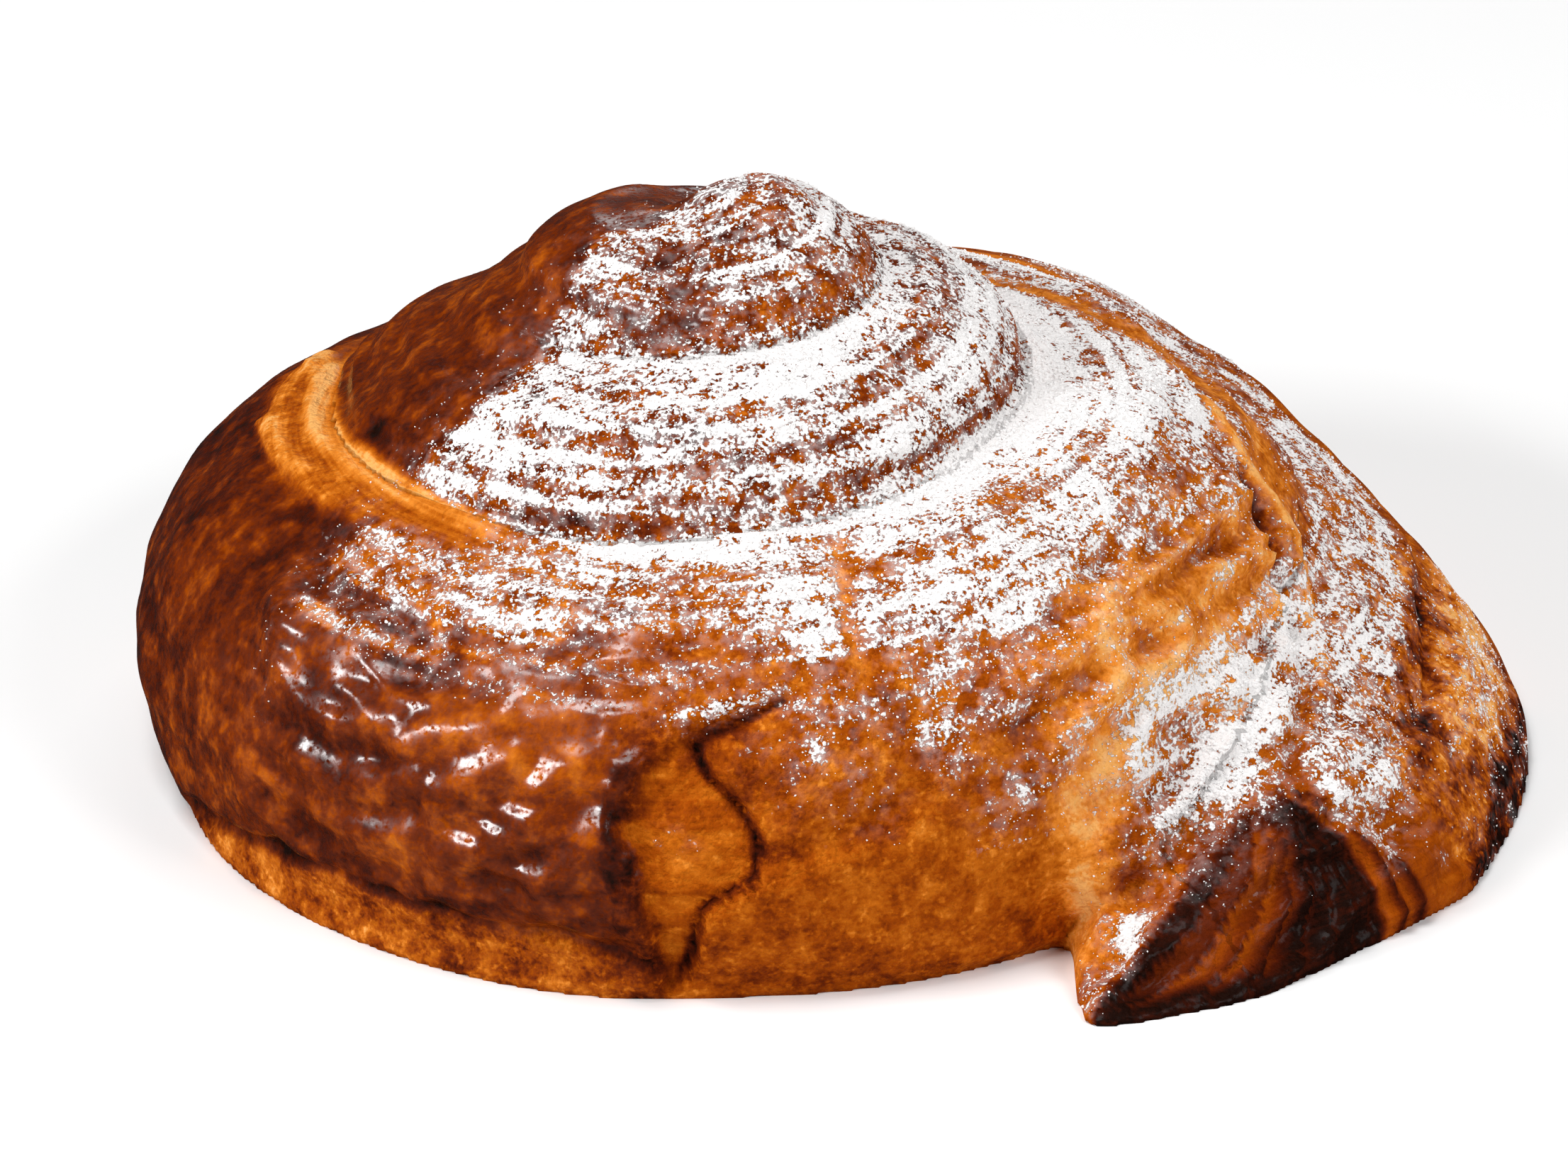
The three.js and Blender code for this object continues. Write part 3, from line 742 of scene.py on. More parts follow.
# The slanting cut: its layers are arcs through the top of the cut and its left tip
CUT_TOP = np.array((42.0, -37.3, 12.6))
CUT_FOOT = np.array((28.3, -53.6, 0.4))
CUT_LEAST_ANGLE = 0.3
CUT_EDGE = (0.9, 2.0)
CUT_WANDER = [(0.7, 6, 61), (0.12, 1.6, 62)]
CUT_LAYER = 2.4
CUT_DARK_EDGE = (20.0, 22.0)
CUT_DARK_GLOSS = 0.05
CUT_OUTLINES = [(23.4, 0.6), (26.5, 1.0)]
CUT_RIM = (1.0, 2.2)
CUT_GLOW = 6.5
CUT_GLOW_WIDTH = 4.4
PAGE_LEVEL = 0.4
SINGED_WIDTH = 5.0
SINGED_REACH = 52.0


def bulge_of_arc(skin):
    """How far the arc through a point and both ends of the cut bulges from the line between them."""
    to_top = CUT_TOP - skin.points
    to_foot = CUT_FOOT - skin.points
    lengths = np.linalg.norm(to_top, axis=1) * np.linalg.norm(to_foot, axis=1)
    between = np.arccos(np.clip((to_top * to_foot).sum(axis=1) / lengths, -1, 1))
    return np.linalg.norm(CUT_TOP - CUT_FOOT) / 2 / np.tan(np.maximum(between, CUT_LEAST_ANGLE) / 2)


def layers_of_cut(skin):
    """The dough layers on the slanting cut, lapped like pages, with a burnt rim at the left and top."""
    face = np.minimum(slope_height(CUT_SLOPE, skin.x, skin.y), slope_height(CUT_LEFT_SLOPE, skin.x, skin.y))
    on_cut = skin.within(azimuth=(290, 294, 336, 342), reach=(51.5, 54.0))
    on_cut = on_cut * (1 - ease(np.abs(face - skin.z), *CUT_EDGE))
    bulge = bulge_of_arc(skin) + skin.lumps(*CUT_WANDER)
    page = bulge / CUT_LAYER % 1
    right = on_cut * ease(bulge, *CUT_DARK_EDGE)
    dark = on_cut * (1 - ease(bulge, *CUT_DARK_EDGE))
    glow = dark * hump(bulge, CUT_GLOW, CUT_GLOW_WIDTH) * skin.within(z=(0.8, 2.5, 9.0, 12.5))
    outline = 0
    for place, width in CUT_OUTLINES:
        outline = np.maximum(outline, hump(bulge, place, width))
    singed = hump(face - skin.z, 0, SINGED_WIDTH) * (1 - on_cut)
    singed = singed * skin.within(azimuth=(296, 300, 322, 328)) * (skin.reach > SINGED_REACH)
    skin.mark(dark, lift=0.6 * (page**2 - PAGE_LEVEL), to_bake=1.03 + 0.30 * (page - PAGE_LEVEL))
    skin.mark(right, lift=0.5 * outline, to_bake=0.56 + 0.34 * outline)
    skin.mark(on_cut * (1 - ease(bulge, *CUT_RIM)), lift=0.6, bake=0.12)
    skin.mark(glow, lift=-0.5, bake=-0.44)
    skin.mark(singed, bake=0.18)
    skin.mark(on_cut, mottle=-0.75, gloss=-1, clear=1)
    skin.gloss = np.maximum(skin.gloss, CUT_DARK_GLOSS * dark)


# The outer side of the free end, with lines as X and Y
RIGHT_TURNS = 0.3
RIGHT_MOTTLE = 0.8
RIGHT_SUGAR = (1, 3, 76)
RIGHT_SUGAR_EDGE = (0, 0.6)
PALE_PATCH = [(62.5, 0), (62.8, -7), (62, -14), (61, -18)]
PATCH_EDGE = (1.4, 4.0)
PATCH_WANDER = [(2.8, 4.2, 73), (1.2, 1.5, 74)]
PATCH_LUMPS = (0.25, 1.5, 72)
RIGHT_WRINKLE = [(58.4, -5), (58.7, -12.4), (58.5, -18.2), (57.4, -23.1), (59.8, -21.8)]
RIGHT_WRINKLE_WANDER = (0.3, 2, 75)
RIGHT_WRINKLE_WIDTH = 0.6
RIGHT_WRINKLE_TOP = 17.0
BURNT_AZIMUTH = 348.0
BURNT_SPREAD = 15.0
BURNT_HEIGHT = 4.4
BURNT_WANDER = (1.2, 4, 71)
BURNT_EDGE = (-1.2, 1.2)
BROWN_SPOT = ((65.5, -19, 4), 5.5)


def right_of_free_end(skin):
    """The outer side of the free end: orange, with a wrinkle, a pale rough patch and a burnt foot."""
    side = skin.within(azimuth=(322, 336, 362, 372), reach=(53, 57)) * (skin.turn < RIGHT_TURNS)
    spots = ease(skin.lumps(RIGHT_SUGAR), *RIGHT_SUGAR_EDGE)
    patch = skin.plan_distance(PALE_PATCH) + skin.lumps(*PATCH_WANDER)
    patch = (1 - ease(patch, *PATCH_EDGE)) * skin.within(z=(3, 6))
    wrinkle = skin.plan_distance(RIGHT_WRINKLE) + skin.lumps(RIGHT_WRINKLE_WANDER)
    wrinkle = hump(wrinkle, 0, RIGHT_WRINKLE_WIDTH) * (skin.z < RIGHT_WRINKLE_TOP)
    from_middle = (skin.azimuth - BURNT_AZIMUTH + 180) % 360 - 180
    burnt_to = BURNT_HEIGHT * hump(from_middle, 0, BURNT_SPREAD)
    foot = side * ease(burnt_to - skin.z - skin.lumps(BURNT_WANDER), *BURNT_EDGE)
    skin.mark(patch, lift=skin.lumps(PATCH_LUMPS), to_bake=0.16, clear=0.4)
    skin.mark(skin.near(*BROWN_SPOT), bake=0.16)
    skin.mark(wrinkle, lift=-0.6, bake=0.30, clear=1)
    skin.mark(side, bake=0.02)
    skin.mark(foot, to_bake=0.90)
    skin.mark(1, cover=0.22 * patch + 0.10 * side * spots)
    skin.mottle += RIGHT_MOTTLE * (patch + side)


# Small marks as a place and a radius, and a gap in the sugar on the front as X and Y
EYE_DIMPLES = [((-6.5, -9.3, 48.0), 2.4), ((-5.1, -12.7, 46.9), 2.2), ((-3.8, -15.2, 45.0), 1.8)]
BURNT_SPOT = ((-30.6, -11.2, 32.7), 1.3)
BURNT_PIT = ((-30.6, -11.2, 32.7), 1.2)
BLISTER = ((-36.7, -29.2, 23.2), 2.6)
SUGAR_GAP = [(7.8, -32.7), (8.7, -37.1), (9.0, -41.1), (9.9, -44.2)]
SUGAR_GAP_WANDER = (0.6, 2, 91)
SUGAR_GAP_WIDTH = 0.9


def small_marks(skin):
    """The dimples beside the knob, a gap in the sugar, a burnt spot and a blister in the glaze."""
    for dimple in EYE_DIMPLES:
        skin.mark(skin.near(*dimple), lift=-0.9, bake=0.05, clear=0.8)
    skin.mark(skin.near(*BURNT_SPOT), bake=0.35)
    skin.mark(skin.near(*BURNT_PIT), lift=-0.5)
    skin.mark(skin.near(*BLISTER), lift=0.9)
    gap = hump(skin.plan_distance(SUGAR_GAP) + skin.lumps(SUGAR_GAP_WANDER), 0, SUGAR_GAP_WIDTH)
    skin.mark(gap * (skin.turn < OUTER_TURNS), lift=-0.3, bake=-0.14, clear=0.75)


# Sugar was sieved over the right of a line from the back right to the front left, wavier at the back
SUGAR_LINE = -7.0
SUGAR_LINE_EDGE = (-0.8, 3.0)
SUGAR_LINE_WAVE = 2.0
SUGAR_LINE_BACK_WAVE = 3.5
SUGAR_LINE_WANDER = [(1, 10, 80), (0.9, 4, 81), (0.4, 1.8, 82)]

# Where it lies thick: levels are how much the crust faces up, from 0 to 1
SUGAR_STREAKS = [(0.6, 10, 1.7, 83), (0.4, 6, 1.1, 84)]
STREAK_LEVEL = 0.08
TAIL_SPOTS = (1, 2.2, 87)
TAIL_STREAK_LOST = 0.6
TAIL_LEVEL = -0.10
LEFT_SPREAD = (45, 75)
LEFT_LEVEL = -0.02
UPPER_COVER = 0.12
UPPER_LEVEL_COVER = 0.48
UPPER_LEVELS = (0.05, 0.85)
KNOB_COVER = -0.12
OUTER_COVER = 0.52
OUTER_LEVELS = (0.62, 0.86)
FRONT_LEVELS = (0.15, 0.50)
FRONT_COVER = 0.03
CLOUD_COVER = 0.25
CLOUDS = [(1, 5.5, 88), (0.6, 2.0, 89)]
CLOUD_EDGE = (0.05, 0.8)
RIGHT_SPREAD = (0, 25)
RIGHT_LEVELS = (0.75, 0.95)
RIGHT_COVER = 0.18
LEDGE_LEVELS = (0.78, 0.92)
LEDGE_COVER = 0.42
LOOSE_STREAKS = 0.22
LOOSE_LUMPS = [(0.14, 3.1, 85), (0.12, 1.5, 86)]
LOOSE_RELIEF = 0.5
LOOSE_FROM_COVER = (0.05, 0.3)

# Single grains beyond the line, and the crust under the sugar
STRAY_COVER = 0.0005
STRAY_SPREAD = (-10, 0)
FRINGE_COVER = 0.03
FRINGE_PLACE = -1.0
FRINGE_WIDTH = 2.2
SUGARED_BAKE = 0.48
SUGARED_UPPER_BAKE = 0.18


def past_sugar_line(skin):
    """How far points lie on the sugared side of the line."""
    wave = SUGAR_LINE_WAVE + SUGAR_LINE_BACK_WAVE * skin.within(y=(-4, 16))
    return (skin.x - skin.y - SUGAR_LINE) / math.sqrt(2) + wave * skin.lumps(*SUGAR_LINE_WANDER)


def settled_sugar(skin, upper):
    """How thick sugar settles: where the crust faces up, and most on the ledges outside each groove."""
    on_tail = skin.within(turn=(0.35, 0.15))
    at_left = 1 - ease(np.abs(skin.azimuth - 180), *LEFT_SPREAD)
    streak = skin.streaks(*SUGAR_STREAKS)
    streak = streak + (skin.lumps(TAIL_SPOTS) - TAIL_STREAK_LOST * streak) * on_tail
    level = skin.level + STREAK_LEVEL * streak
    on_upper = UPPER_COVER + UPPER_LEVEL_COVER * ease(level, *UPPER_LEVELS)
    on_upper = on_upper + KNOB_COVER * skin.within(turn=(2.6, 3.0))
    clouds = FRONT_COVER + CLOUD_COVER * ease(skin.lumps(*CLOUDS), *CLOUD_EDGE)
    front = skin.within(azimuth=(268, 278, 345, 360)) * ease(level, *FRONT_LEVELS)
    to_right = ease(skin.x - np.abs(skin.y), *RIGHT_SPREAD) * ease(level, *RIGHT_LEVELS) * (1 - on_tail)
    on_outer = OUTER_COVER * ease(level + TAIL_LEVEL * on_tail + LEFT_LEVEL * at_left, *OUTER_LEVELS)
    on_outer = on_outer + front * clouds + RIGHT_COVER * to_right
    cover = on_outer * (1 - upper) + on_upper * upper
    ledge = skin.within(to_next_lap=(6.0, 2.5), around=(70, 95))
    loose = LOOSE_STREAKS * streak + skin.lumps(*LOOSE_LUMPS)
    loose = loose + LOOSE_RELIEF * (skin.facing[:, 2] - skin.level)
    return cover + LEDGE_COVER * ledge * ease(level, *LEDGE_LEVELS) + loose * ease(cover, *LOOSE_FROM_COVER)


def dust_with_sugar(skin):
    """Sugar over the right of the line, with the crust dull and no longer burnt under it."""
    upper = skin.within(turn=(1.05, 1.25))
    past_line = past_sugar_line(skin)
    cover = np.maximum(settled_sugar(skin, upper) * (1 - skin.bare), skin.cover)
    fringe = FRINGE_COVER * hump(past_line, FRINGE_PLACE, FRINGE_WIDTH)
    stray = (STRAY_COVER * ease(past_line, *STRAY_SPREAD) + fringe) * skin.within(level=(0.2, 0.7))
    skin.cover = np.clip(np.maximum(cover * ease(past_line, *SUGAR_LINE_EDGE), stray), 0, 1)
    under_sugar = skin.within(cover=(0.02, 0.3))
    darkest = SUGARED_BAKE + SUGARED_UPPER_BAKE * upper
    skin.gloss *= 1 - under_sugar
    skin.bake = np.minimum(skin.bake, 1 - (1 - darkest) * under_sugar)


def dressed_skin():
    """The skin with all its features, and sugar over it."""
    skin = Skin()
    glazed, front_right = sides_of_coil(skin)
    layer_ridges(skin, glazed, front_right)
    front_folds(skin, front_right)
    left_wrinkles(skin, glazed)
    for feature in (
        stretched_grooves,
        lip_at_foot,
        front_split,
        fold_over_split,
        valley_of_free_end,
        seam_of_free_end,
        right_of_free_end,
        layers_of_cut,
        small_marks,
    ):
        feature(skin)
    skin.raise_crust()
    dust_with_sugar(skin)
    return skin


def to_linear(red, green, blue):
    """A colour as it is named on screen, from 0 to 255, in the shader's own scale."""
    linear = []
    for value in (red, green, blue):
        share = value / 255
        linear.append(share / 12.92 if share <= 0.04045 else ((share + 0.055) / 1.055) ** 2.4)
    return (*linear, 1.0)


class Shade:
    """A value in a material's nodes that takes part in sums written as Python expressions."""

    def __init__(self, finish, socket):
        self.finish = finish
        self.socket = socket

    def math(self, operation, *values):
        return self.finish.node("ShaderNodeMath", {"operation": operation}, dict(enumerate(values)))

    def __add__(self, other):
        return self.math("ADD", self, other)

    def __radd__(self, other):
        return self.math("ADD", other, self)

    def __sub__(self, other):
        return self.math("SUBTRACT", self, other)

    def __rsub__(self, other):
        return self.math("SUBTRACT", other, self)

    def __mul__(self, other):
        return self.math("MULTIPLY", self, other)

    def above(self, threshold, gain):
        """0 below a threshold, rising to 1 above it."""
        return ((self - threshold) * gain).clamped()

    def clamped(self):
        return self.finish.node("ShaderNodeClamp", {}, {"Value": self})


class Finish:
    """A material, and the one way nodes are added to it."""

    def __init__(self, name):
        self.material = bpy.data.materials.new(name)
        self.material.use_nodes = True
        self.tree = self.material.node_tree
        self.tree.nodes.clear()

    def node(self, kind, settings, sockets, output=0):
        """Adds a node, and gives what it puts out."""
        made = self.tree.nodes.new(kind)
        for name, setting in settings.items():
            if name == "stops":
                self.set_stops(made.color_ramp, setting)
            else:
                setattr(made, name, setting)
        for name, value in sockets.items():
            if isinstance(value, Shade):
                self.tree.links.new(value.socket, made.inputs[name])
            else:
                made.inputs[name].default_value = value
        return Shade(self, made.outputs[output]) if made.outputs else made

    def set_stops(self, ramp, stops):
        while len(ramp.elements) < len(stops):
            ramp.elements.new(1.0)
        for element, (place, colour) in zip(ramp.elements, stops):
            element.position = place
            element.color = colour

    def painted(self, name):
        """A value stored on the mesh."""
        return self.node("ShaderNodeAttribute", {"attribute_name": name}, {}, "Fac")

    def place(self):
        """The place on the object in millimetres."""
        at = self.node("ShaderNodeTexCoord", {}, {}, "Object")
        return self.node("ShaderNodeVectorMath", {"operation": "MULTIPLY"}, {0: at, 1: (1 / MM,) * 3})

    def noise(self, place, size, detail):
        """Smooth noise with lumps of a size in millimetres."""
        sockets = {"Vector": place, "Scale": 1 / size, "Detail": detail}
        return self.node("ShaderNodeTexNoise", {}, sockets, "Fac")

    def blend(self, first, second, share):
        """One colour going over to another."""
        return self.node("ShaderNodeMix", {"data_type": "RGBA"}, {0: share, 6: first, 7: second}, 2)

    def surface(self, sockets):
        shine = self.node("ShaderNodeBsdfPrincipled", {}, sockets)
        self.node("ShaderNodeOutputMaterial", {}, {"Surface": shine})
        return self.material


# Colours of the crust by how dark it is baked, and the sugar's own
CRUST_STOPS = [
    (0.00, to_linear(246, 178, 100)),
    (0.18, to_linear(232, 138, 46)),
    (0.36, to_linear(194, 101, 17)),
    (0.52, to_linear(160, 71, 4)),
    (0.68, to_linear(115, 42, 4)),
    (0.84, to_linear(75, 23, 6)),
    (1.00, to_linear(28, 11, 6)),
]
SUGAR_WHITE = to_linear(249, 246, 245)
GRAIN_WHITES = (to_linear(240, 236, 234), to_linear(252, 252, 252))
GRAIN_NOISE = (0.5, 2.0)
GRAIN_ROUGHNESS = 0.75
GRAIN_SPECULAR = 0.2

# Noises in the crust: what each is laid on, its size in millimetres and its detail.
# Those on the rope or on stretched dough are drawn out along it by shortening that way.
DRAWN_OUT = {"rope": 0.28, "stretched": 0.07}
CRUST_NOISES = {
    "blotch": ("object", 3.2, 6.0),
    "streak": ("rope", 1.5, 4.0),
    "patch": ("object", 1.1, 3.0),
    "speck": ("object", 0.45, 4.0),
    "flake": ("object", 1.7, 5.0),
    "line": ("stretched", 0.55, 2.0),
    "fleck": ("object", 0.8, 3.0),
    "pale_spot": ("object", 2.3, 2.0),
    "pit": ("object", 1.3, 2.0),
    "grain": ("object", 0.36, 2.0),
    "clump": ("object", 1.2, 3.0),
    "drift": ("stretched", 1.2, 3.0),
}

# How much each noise darkens the crust, with the threshold and gain of those that make spots
BLOTCH_TONE = 0.5
STREAK_TONE = 0.2
PATCH_TONE = 0.3
SPECK_TONE = 0.28
FLAKE_GAIN = 7.0
FLAKE_TONE = 0.06
FLECKS = (0.56, 7.0)
FLECK_TONE = -0.16
PITS = (0.68, 7.0)
PIT_TONE = 0.14
PALE_SPOTS = (0.48, 5.0)
PALE_SPOT_TONE = -0.18
LINE_TONE = 0.5
GLAZE_EVENS_OUT = 0.5

# How sugar gathers into clumps, with a thin veil between them
GRAIN_WEIGHT = 3.1
CLUMP_WEIGHT = 2.0
DRIFT_WEIGHT = 2.2
COVER_WEIGHT = 1.8
HALF_COVER = 0.52
CLUMP_GAIN = 3.6
CLUMP_FROM_COVER = 20.0
VEIL = (0.44, 4.0)
VEIL_FROM_COVER = 1.8
VEIL_SHARE = 0.45

# Shine and fine relief
CRUST_ROUGHNESS = 0.56
GLAZE_ROUGHNESS = -0.22
SPECK_ROUGHNESS = 0.25
SUGAR_ROUGHNESS = 0.3
CRUST_SPECULAR = 0.02
COAT_PATCHES = (0.30, 5.0)
COAT_SPECKS = (0.36, 6.0)
COAT_ROUGHNESS = 0.21
COAT_IOR = 1.7
SPECK_HEIGHT = 0.36
MOTTLE_HEIGHT = 0.7
FLAKE_HEIGHT = -0.10
SUGAR_HEIGHT = 0.16


def crust_noises(finish):
    """The crust's noises, by name."""
    along = finish.painted("along")
    across = finish.painted("across")
    places = {"object": finish.place()}
    for name, shortening in DRAWN_OUT.items():
        places[name] = finish.node("ShaderNodeCombineXYZ", {}, {"X": along * shortening, "Y": across})
    noises = SimpleNamespace()
    for name, (place, size, detail) in CRUST_NOISES.items():
        setattr(noises, name, finish.noise(places[place], size, detail))
    return noises


def sugar_share(finish, noise):
    """How much of the crust sugar hides, in clumps with a thin veil between them."""
    cover = finish.painted("cover")
    level = (noise.grain - 0.5) * GRAIN_WEIGHT + (noise.clump - 0.5) * CLUMP_WEIGHT
    level = level + (noise.drift - 0.5) * DRIFT_WEIGHT + (cover - HALF_COVER) * COVER_WEIGHT
    clumps = level.above(-0.5 / CLUMP_GAIN, CLUMP_GAIN) * (cover * CLUMP_FROM_COVER).clamped()
    veil = noise.clump.above(*VEIL) * (cover * VEIL_FROM_COVER).clamped() * VEIL_SHARE
    return (veil + clumps * (1 - veil)).clamped()


def crust_finish():
    """Mottled crust, glossy where it is glazed, with sugar on it."""
    finish = Finish("crust")
    noise = crust_noises(finish)
    glazing = finish.painted("gloss")
    rough = 1 - glazing * GLAZE_EVENS_OUT
    mottle = noise.blotch * BLOTCH_TONE + noise.streak * STREAK_TONE + noise.patch * PATCH_TONE - 0.5
    speck = noise.speck - 0.5
    flakes = noise.flake.above(0.5 - 0.5 / FLAKE_GAIN, FLAKE_GAIN) - 0.5
    flecks = noise.fleck.above(*FLECKS) * (1 - glazing)
    pits = noise.pit.above(*PITS) * glazing
    pale_spots = noise.pale_spot.above(*PALE_SPOTS) * glazing
    lines = (noise.line - 0.5) * finish.painted("stretch")
    uneven = mottle + speck * SPECK_TONE + flakes * FLAKE_TONE + flecks * FLECK_TONE
    tone = finish.painted("bake") + uneven * finish.painted("mottle") * rough
    tone = tone + pits * PIT_TONE + pale_spots * PALE_SPOT_TONE + lines * LINE_TONE
    crust = finish.node("ShaderNodeValToRGB", {"stops": CRUST_STOPS}, {"Fac": tone})
    dusted = sugar_share(finish, noise)
    roughness = CRUST_ROUGHNESS + glazing * GLAZE_ROUGHNESS + speck * rough * SPECK_ROUGHNESS
    broken = noise.patch.above(*COAT_PATCHES) * noise.speck.above(*COAT_SPECKS)
    height = (speck * SPECK_HEIGHT + mottle * MOTTLE_HEIGHT + flakes * FLAKE_HEIGHT) * rough
    height = height + dusted * SUGAR_HEIGHT
    return finish.surface({
        "Base Color": finish.blend(crust, SUGAR_WHITE, dusted),
        "Roughness": roughness + dusted * SUGAR_ROUGHNESS,
        "Specular IOR Level": CRUST_SPECULAR,
        "Coat Weight": glazing * (1 - dusted) * broken,
        "Coat Roughness": COAT_ROUGHNESS,
        "Coat IOR": COAT_IOR,
        "Normal": finish.node("ShaderNodeBump", {}, {"Height": height, "Distance": MM, "Strength": 1.0}),
    })


def sugar_finish():
    finish = Finish("icing_sugar")
    colour = finish.blend(*GRAIN_WHITES, finish.noise(finish.place(), *GRAIN_NOISE))
    return finish.surface({
        "Base Color": colour,
        "Roughness": GRAIN_ROUGHNESS,
        "Specular IOR Level": GRAIN_SPECULAR,
    })


def place_piece(name, mesh):
    """Adds a mesh to the scene as a piece that rides on the roll."""
    piece = bpy.data.objects.new(name, mesh)
    bpy.context.scene.collection.objects.link(piece)
    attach(piece, "root")
    return piece


def roll_piece(skin):
    """The crust with its relief in one closed mesh, which carries the values that its material reads."""
    mesh = bpy.data.meshes.new("roll_skin")
    mesh.from_pydata((skin.points * MM).tolist(), [], skin.faces.tolist())
    shell = bmesh.new()
    shell.from_mesh(mesh)
    bmesh.ops.holes_fill(shell, edges=[edge for edge in shell.edges if edge.is_boundary], sides=0)
    shell.to_mesh(mesh)
    shell.free()
    mesh.shade_smooth()
    for name in ("along", "across", "bake", "mottle", "stretch", "gloss", "cover"):
        layer = mesh.attributes.new(name, "FLOAT", "POINT")
        layer.data.foreach_set("value", getattr(skin, name).astype(np.float32))
    mesh.materials.append(crust_finish())
    piece = place_piece("roll_skin", mesh)
    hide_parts("roll")


def scattered(skin, weight, count, rng):
    """Random places on the skin, more of them where the weight is high, and the way the skin faces there."""
    corners = skin.points[skin.faces]
    areas = np.linalg.norm(np.cross(corners[:, 2] - corners[:, 0], corners[:, 3] - corners[:, 1]), axis=1)
    chance = areas * weight[skin.faces].mean(axis=1)
    picked = rng.choice(len(chance), count, p=chance / chance.sum())
    along = rng.random((count, 1))
    across = rng.random((count, 1))
    near_side = corners[picked, 0] * (1 - along) + corners[picked, 1] * along
    far_side = corners[picked, 3] * (1 - along) + corners[picked, 2] * along
    return near_side * (1 - across) + far_side * across, skin.facing[skin.faces[picked, 0]]


def random_turns(count, rng):
    """Random rotation matrices."""
    w, x, y, z = np.moveaxis(rng.normal(size=(count, 4)), 1, 0)
    size = w * w + x * x + y * y + z * z
    rows = [
        [w * w + x * x - y * y - z * z, 2 * (x * y - w * z), 2 * (x * z + w * y)],
        [2 * (x * y + w * z), w * w - x * x + y * y - z * z, 2 * (y * z - w * x)],
        [2 * (x * z - w * y), 2 * (y * z + w * x), w * w - x * x - y * y + z * z],
    ]
    return np.moveaxis(np.array(rows), 2, 0) / size[:, None, None]


def grain_shape(sides):
    """Corners and triangles of a small body with a number of sides around it."""
    shape = bmesh.new()
    bmesh.ops.create_uvsphere(shape, u_segments=sides, v_segments=sides // 2, radius=1.0)
    bmesh.ops.triangulate(shape, faces=shape.faces)
    corners = np.array([corner.co for corner in shape.verts])
    triangles = np.array([[corner.index for corner in face.verts] for face in shape.faces])
    shape.free()
    return corners, triangles


# Grains of sugar that stand out from the sugar in the crust's material. Half sizes are millimetres,
# and sunk is the share of a grain that lies under the skin.
SUGAR_GRAINS = {"count": 20000, "half_sizes": (0.06, 0.15), "sides": 4, "sunk": 0.35, "seed": 101}
SUGAR_CLUMPS = {"count": 4500, "half_sizes": (0.13, 0.28), "sides": 6, "sunk": 0.45, "seed": 102}
GRAIN_DENTS = (0.65, 1.15)
GRAIN_SQUASH = (0.6, 1.0)
THIN_SUGAR_LIMIT = 1.2
THICK_SUGAR_POWER = 2.5


def grain_piece(name, skin, finish, weight, count, half_sizes, sides, sunk, seed):
    """Many grains of sugar in one mesh, at random places on the skin, each turned and dented at random."""
    rng = np.random.default_rng(seed)
    corners, triangles = grain_shape(sides)
    places, facings = scattered(skin, weight, count, rng)
    sizes = rng.uniform(*half_sizes, (count, 1))
    places = places + facings * sizes * (1 - 2 * sunk)
    dents = rng.uniform(*GRAIN_DENTS, (count, len(corners), 1))
    squash = rng.uniform(*GRAIN_SQUASH, (count, 1, 3))
    bodies = (corners * dents * squash * sizes[:, None]) @ random_turns(count, rng)
    bodies = bodies + places[:, None]
    bodies[:, :, 2] = np.maximum(bodies[:, :, 2], 0)
    faces = triangles + (np.arange(count) * len(corners))[:, None, None]
    mesh = bpy.data.meshes.new(name)
    mesh.from_pydata((bodies.reshape(-1, 3) * MM).tolist(), [], faces.reshape(-1, 3).tolist())
    mesh.shade_smooth()
    mesh.materials.append(finish)
    place_piece(name, mesh)


def sugar_pieces(skin):
    """Single grains where sugar lies thin, and larger clumps where it lies thick."""
    finish = sugar_finish()
    thin = skin.cover * (THIN_SUGAR_LIMIT - skin.cover)
    thick = skin.cover**THICK_SUGAR_POWER
    grain_piece("sugar_grains", skin, finish, thin, **SUGAR_GRAINS)
    grain_piece("sugar_clumps", skin, finish, thick, **SUGAR_CLUMPS)


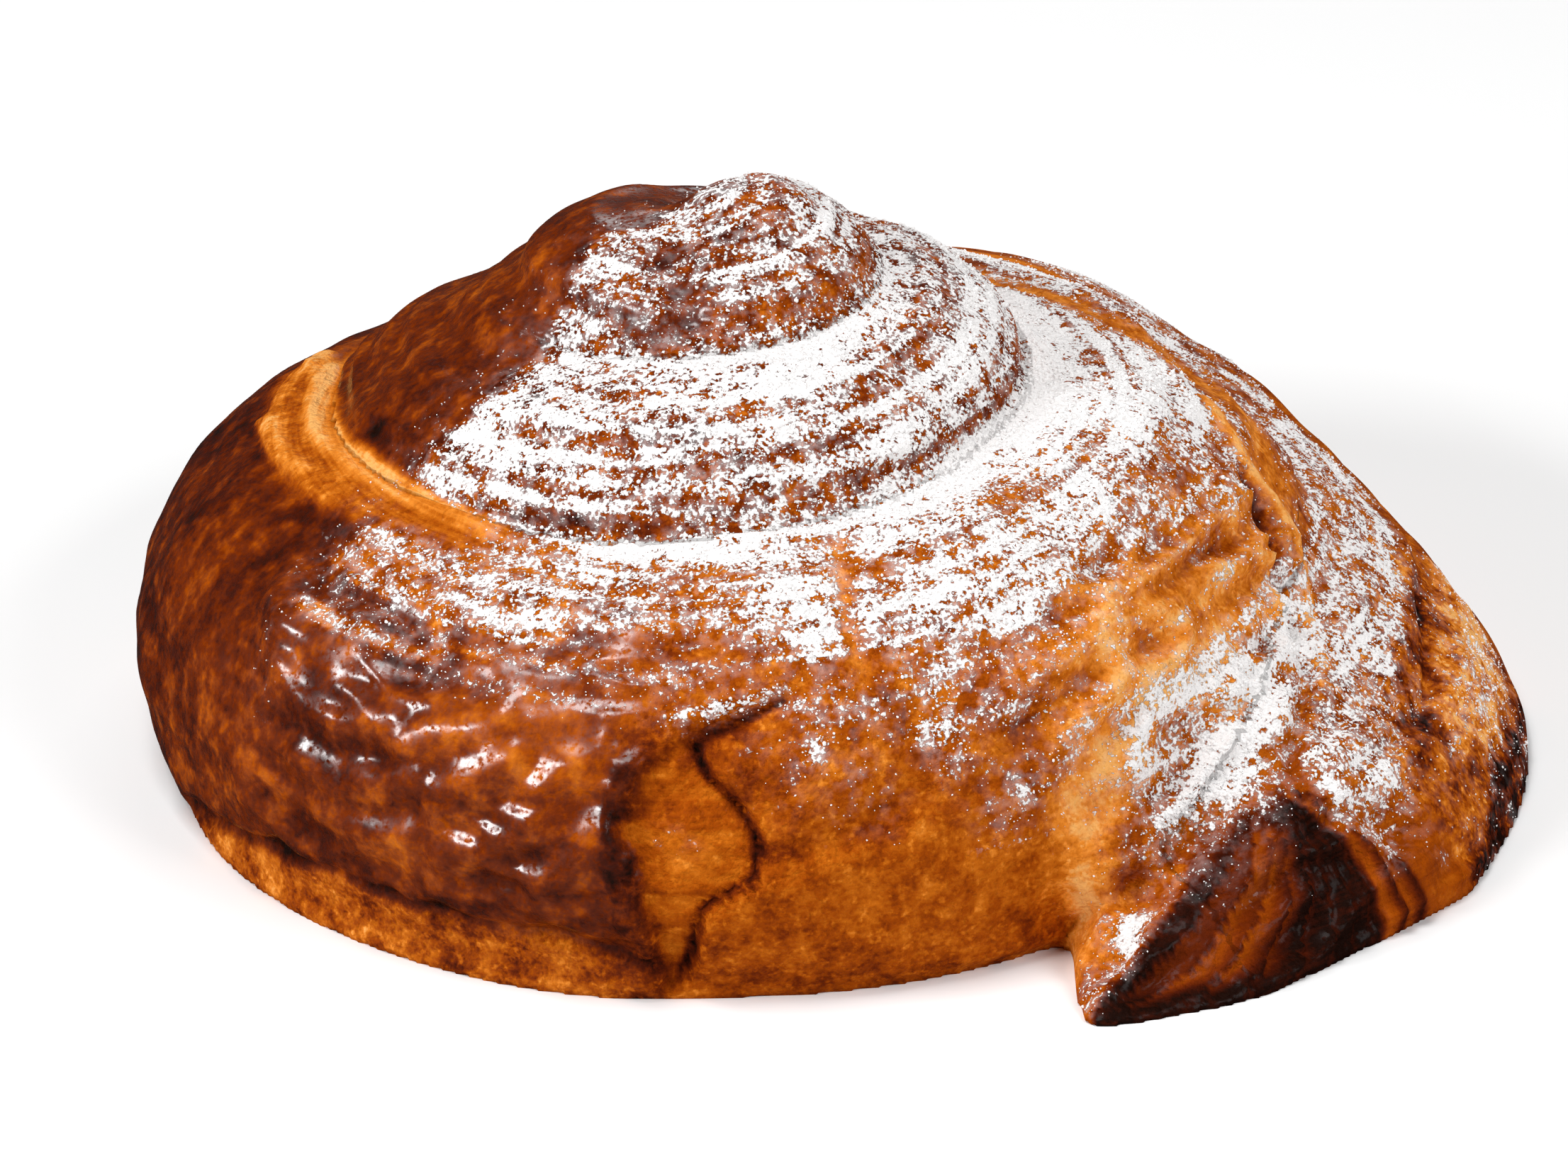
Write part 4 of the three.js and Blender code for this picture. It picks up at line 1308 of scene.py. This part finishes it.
# The floor and the lights are in metres and watts, the camera's places in millimetres
FLOOR_SIDE = 6.0
FLOOR_WHITE = to_linear(252, 252, 252)
FLOOR_ROUGHNESS = 0.9
CAMERA_DISTANCE = 560.0
CAMERA_RISE = math.radians(27)
CAMERA_TARGET = Vector((3.63, -11.9, 18.0))
PHOTO_WIDTH = 2212
PIXELS_PER_MM = 16.6
SENSOR_WIDTH = 36.0
WORLD_STRENGTH = 0.02
LIGHTS = [
    ("key_light", (-0.22, -0.12, 0.90), (0.36, 0.36), 4.5),
    ("fill_light", (0.66, -0.46, 0.54), (0.50, 0.50), 5.2),
    ("left_light", (-0.66, -0.33, 0.42), (0.50, 0.12), 4.8),
    ("back_light", (0.10, 0.80, 0.50), (0.50, 0.50), 1.6),
]
LIGHT_TARGET = Vector((0, 0, 0.02))


def floor():
    half = FLOOR_SIDE / 2
    mesh = bpy.data.meshes.new("floor")
    corners = [(-half, -half, 0), (half, -half, 0), (half, half, 0), (-half, half, 0)]
    mesh.from_pydata(corners, [], [(0, 1, 2, 3)])
    white = Finish("floor_white").surface({"Base Color": FLOOR_WHITE, "Roughness": FLOOR_ROUGHNESS})
    mesh.materials.append(white)
    piece = bpy.data.objects.new("floor", mesh)
    bpy.context.scene.collection.objects.link(piece)
    piece.visible_glossy = False


def camera():
    holder = bpy.data.objects.new("camera", bpy.data.cameras.new("camera"))
    back = Vector((0, -math.cos(CAMERA_RISE), math.sin(CAMERA_RISE)))
    holder.location = (CAMERA_TARGET + CAMERA_DISTANCE * back) * MM
    holder.rotation_euler = (math.pi / 2 - CAMERA_RISE, 0, 0)
    holder.data.sensor_width = SENSOR_WIDTH
    holder.data.lens = SENSOR_WIDTH * PIXELS_PER_MM * CAMERA_DISTANCE / PHOTO_WIDTH
    bpy.context.scene.collection.objects.link(holder)
    bpy.context.scene.camera = holder
    bpy.context.scene.view_settings.view_transform = "Standard"


def studio_light():
    for name, place, (width, height), power in LIGHTS:
        light = bpy.data.lights.new(name, "AREA")
        light.shape = "RECTANGLE"
        light.size = width
        light.size_y = height
        light.energy = power
        holder = bpy.data.objects.new(name, light)
        holder.location = place
        holder.rotation_euler = (LIGHT_TARGET - Vector(place)).to_track_quat("-Z", "Y").to_euler()
        bpy.context.scene.collection.objects.link(holder)
    world = bpy.data.worlds.new("studio")
    world.use_nodes = True
    background = world.node_tree.nodes["Background"]
    background.inputs["Color"].default_value = (1, 1, 1, 1)
    background.inputs["Strength"].default_value = WORLD_STRENGTH
    bpy.context.scene.world = world


skin = dressed_skin()
roll_piece(skin)
sugar_pieces(skin)
floor()
camera()
studio_light()
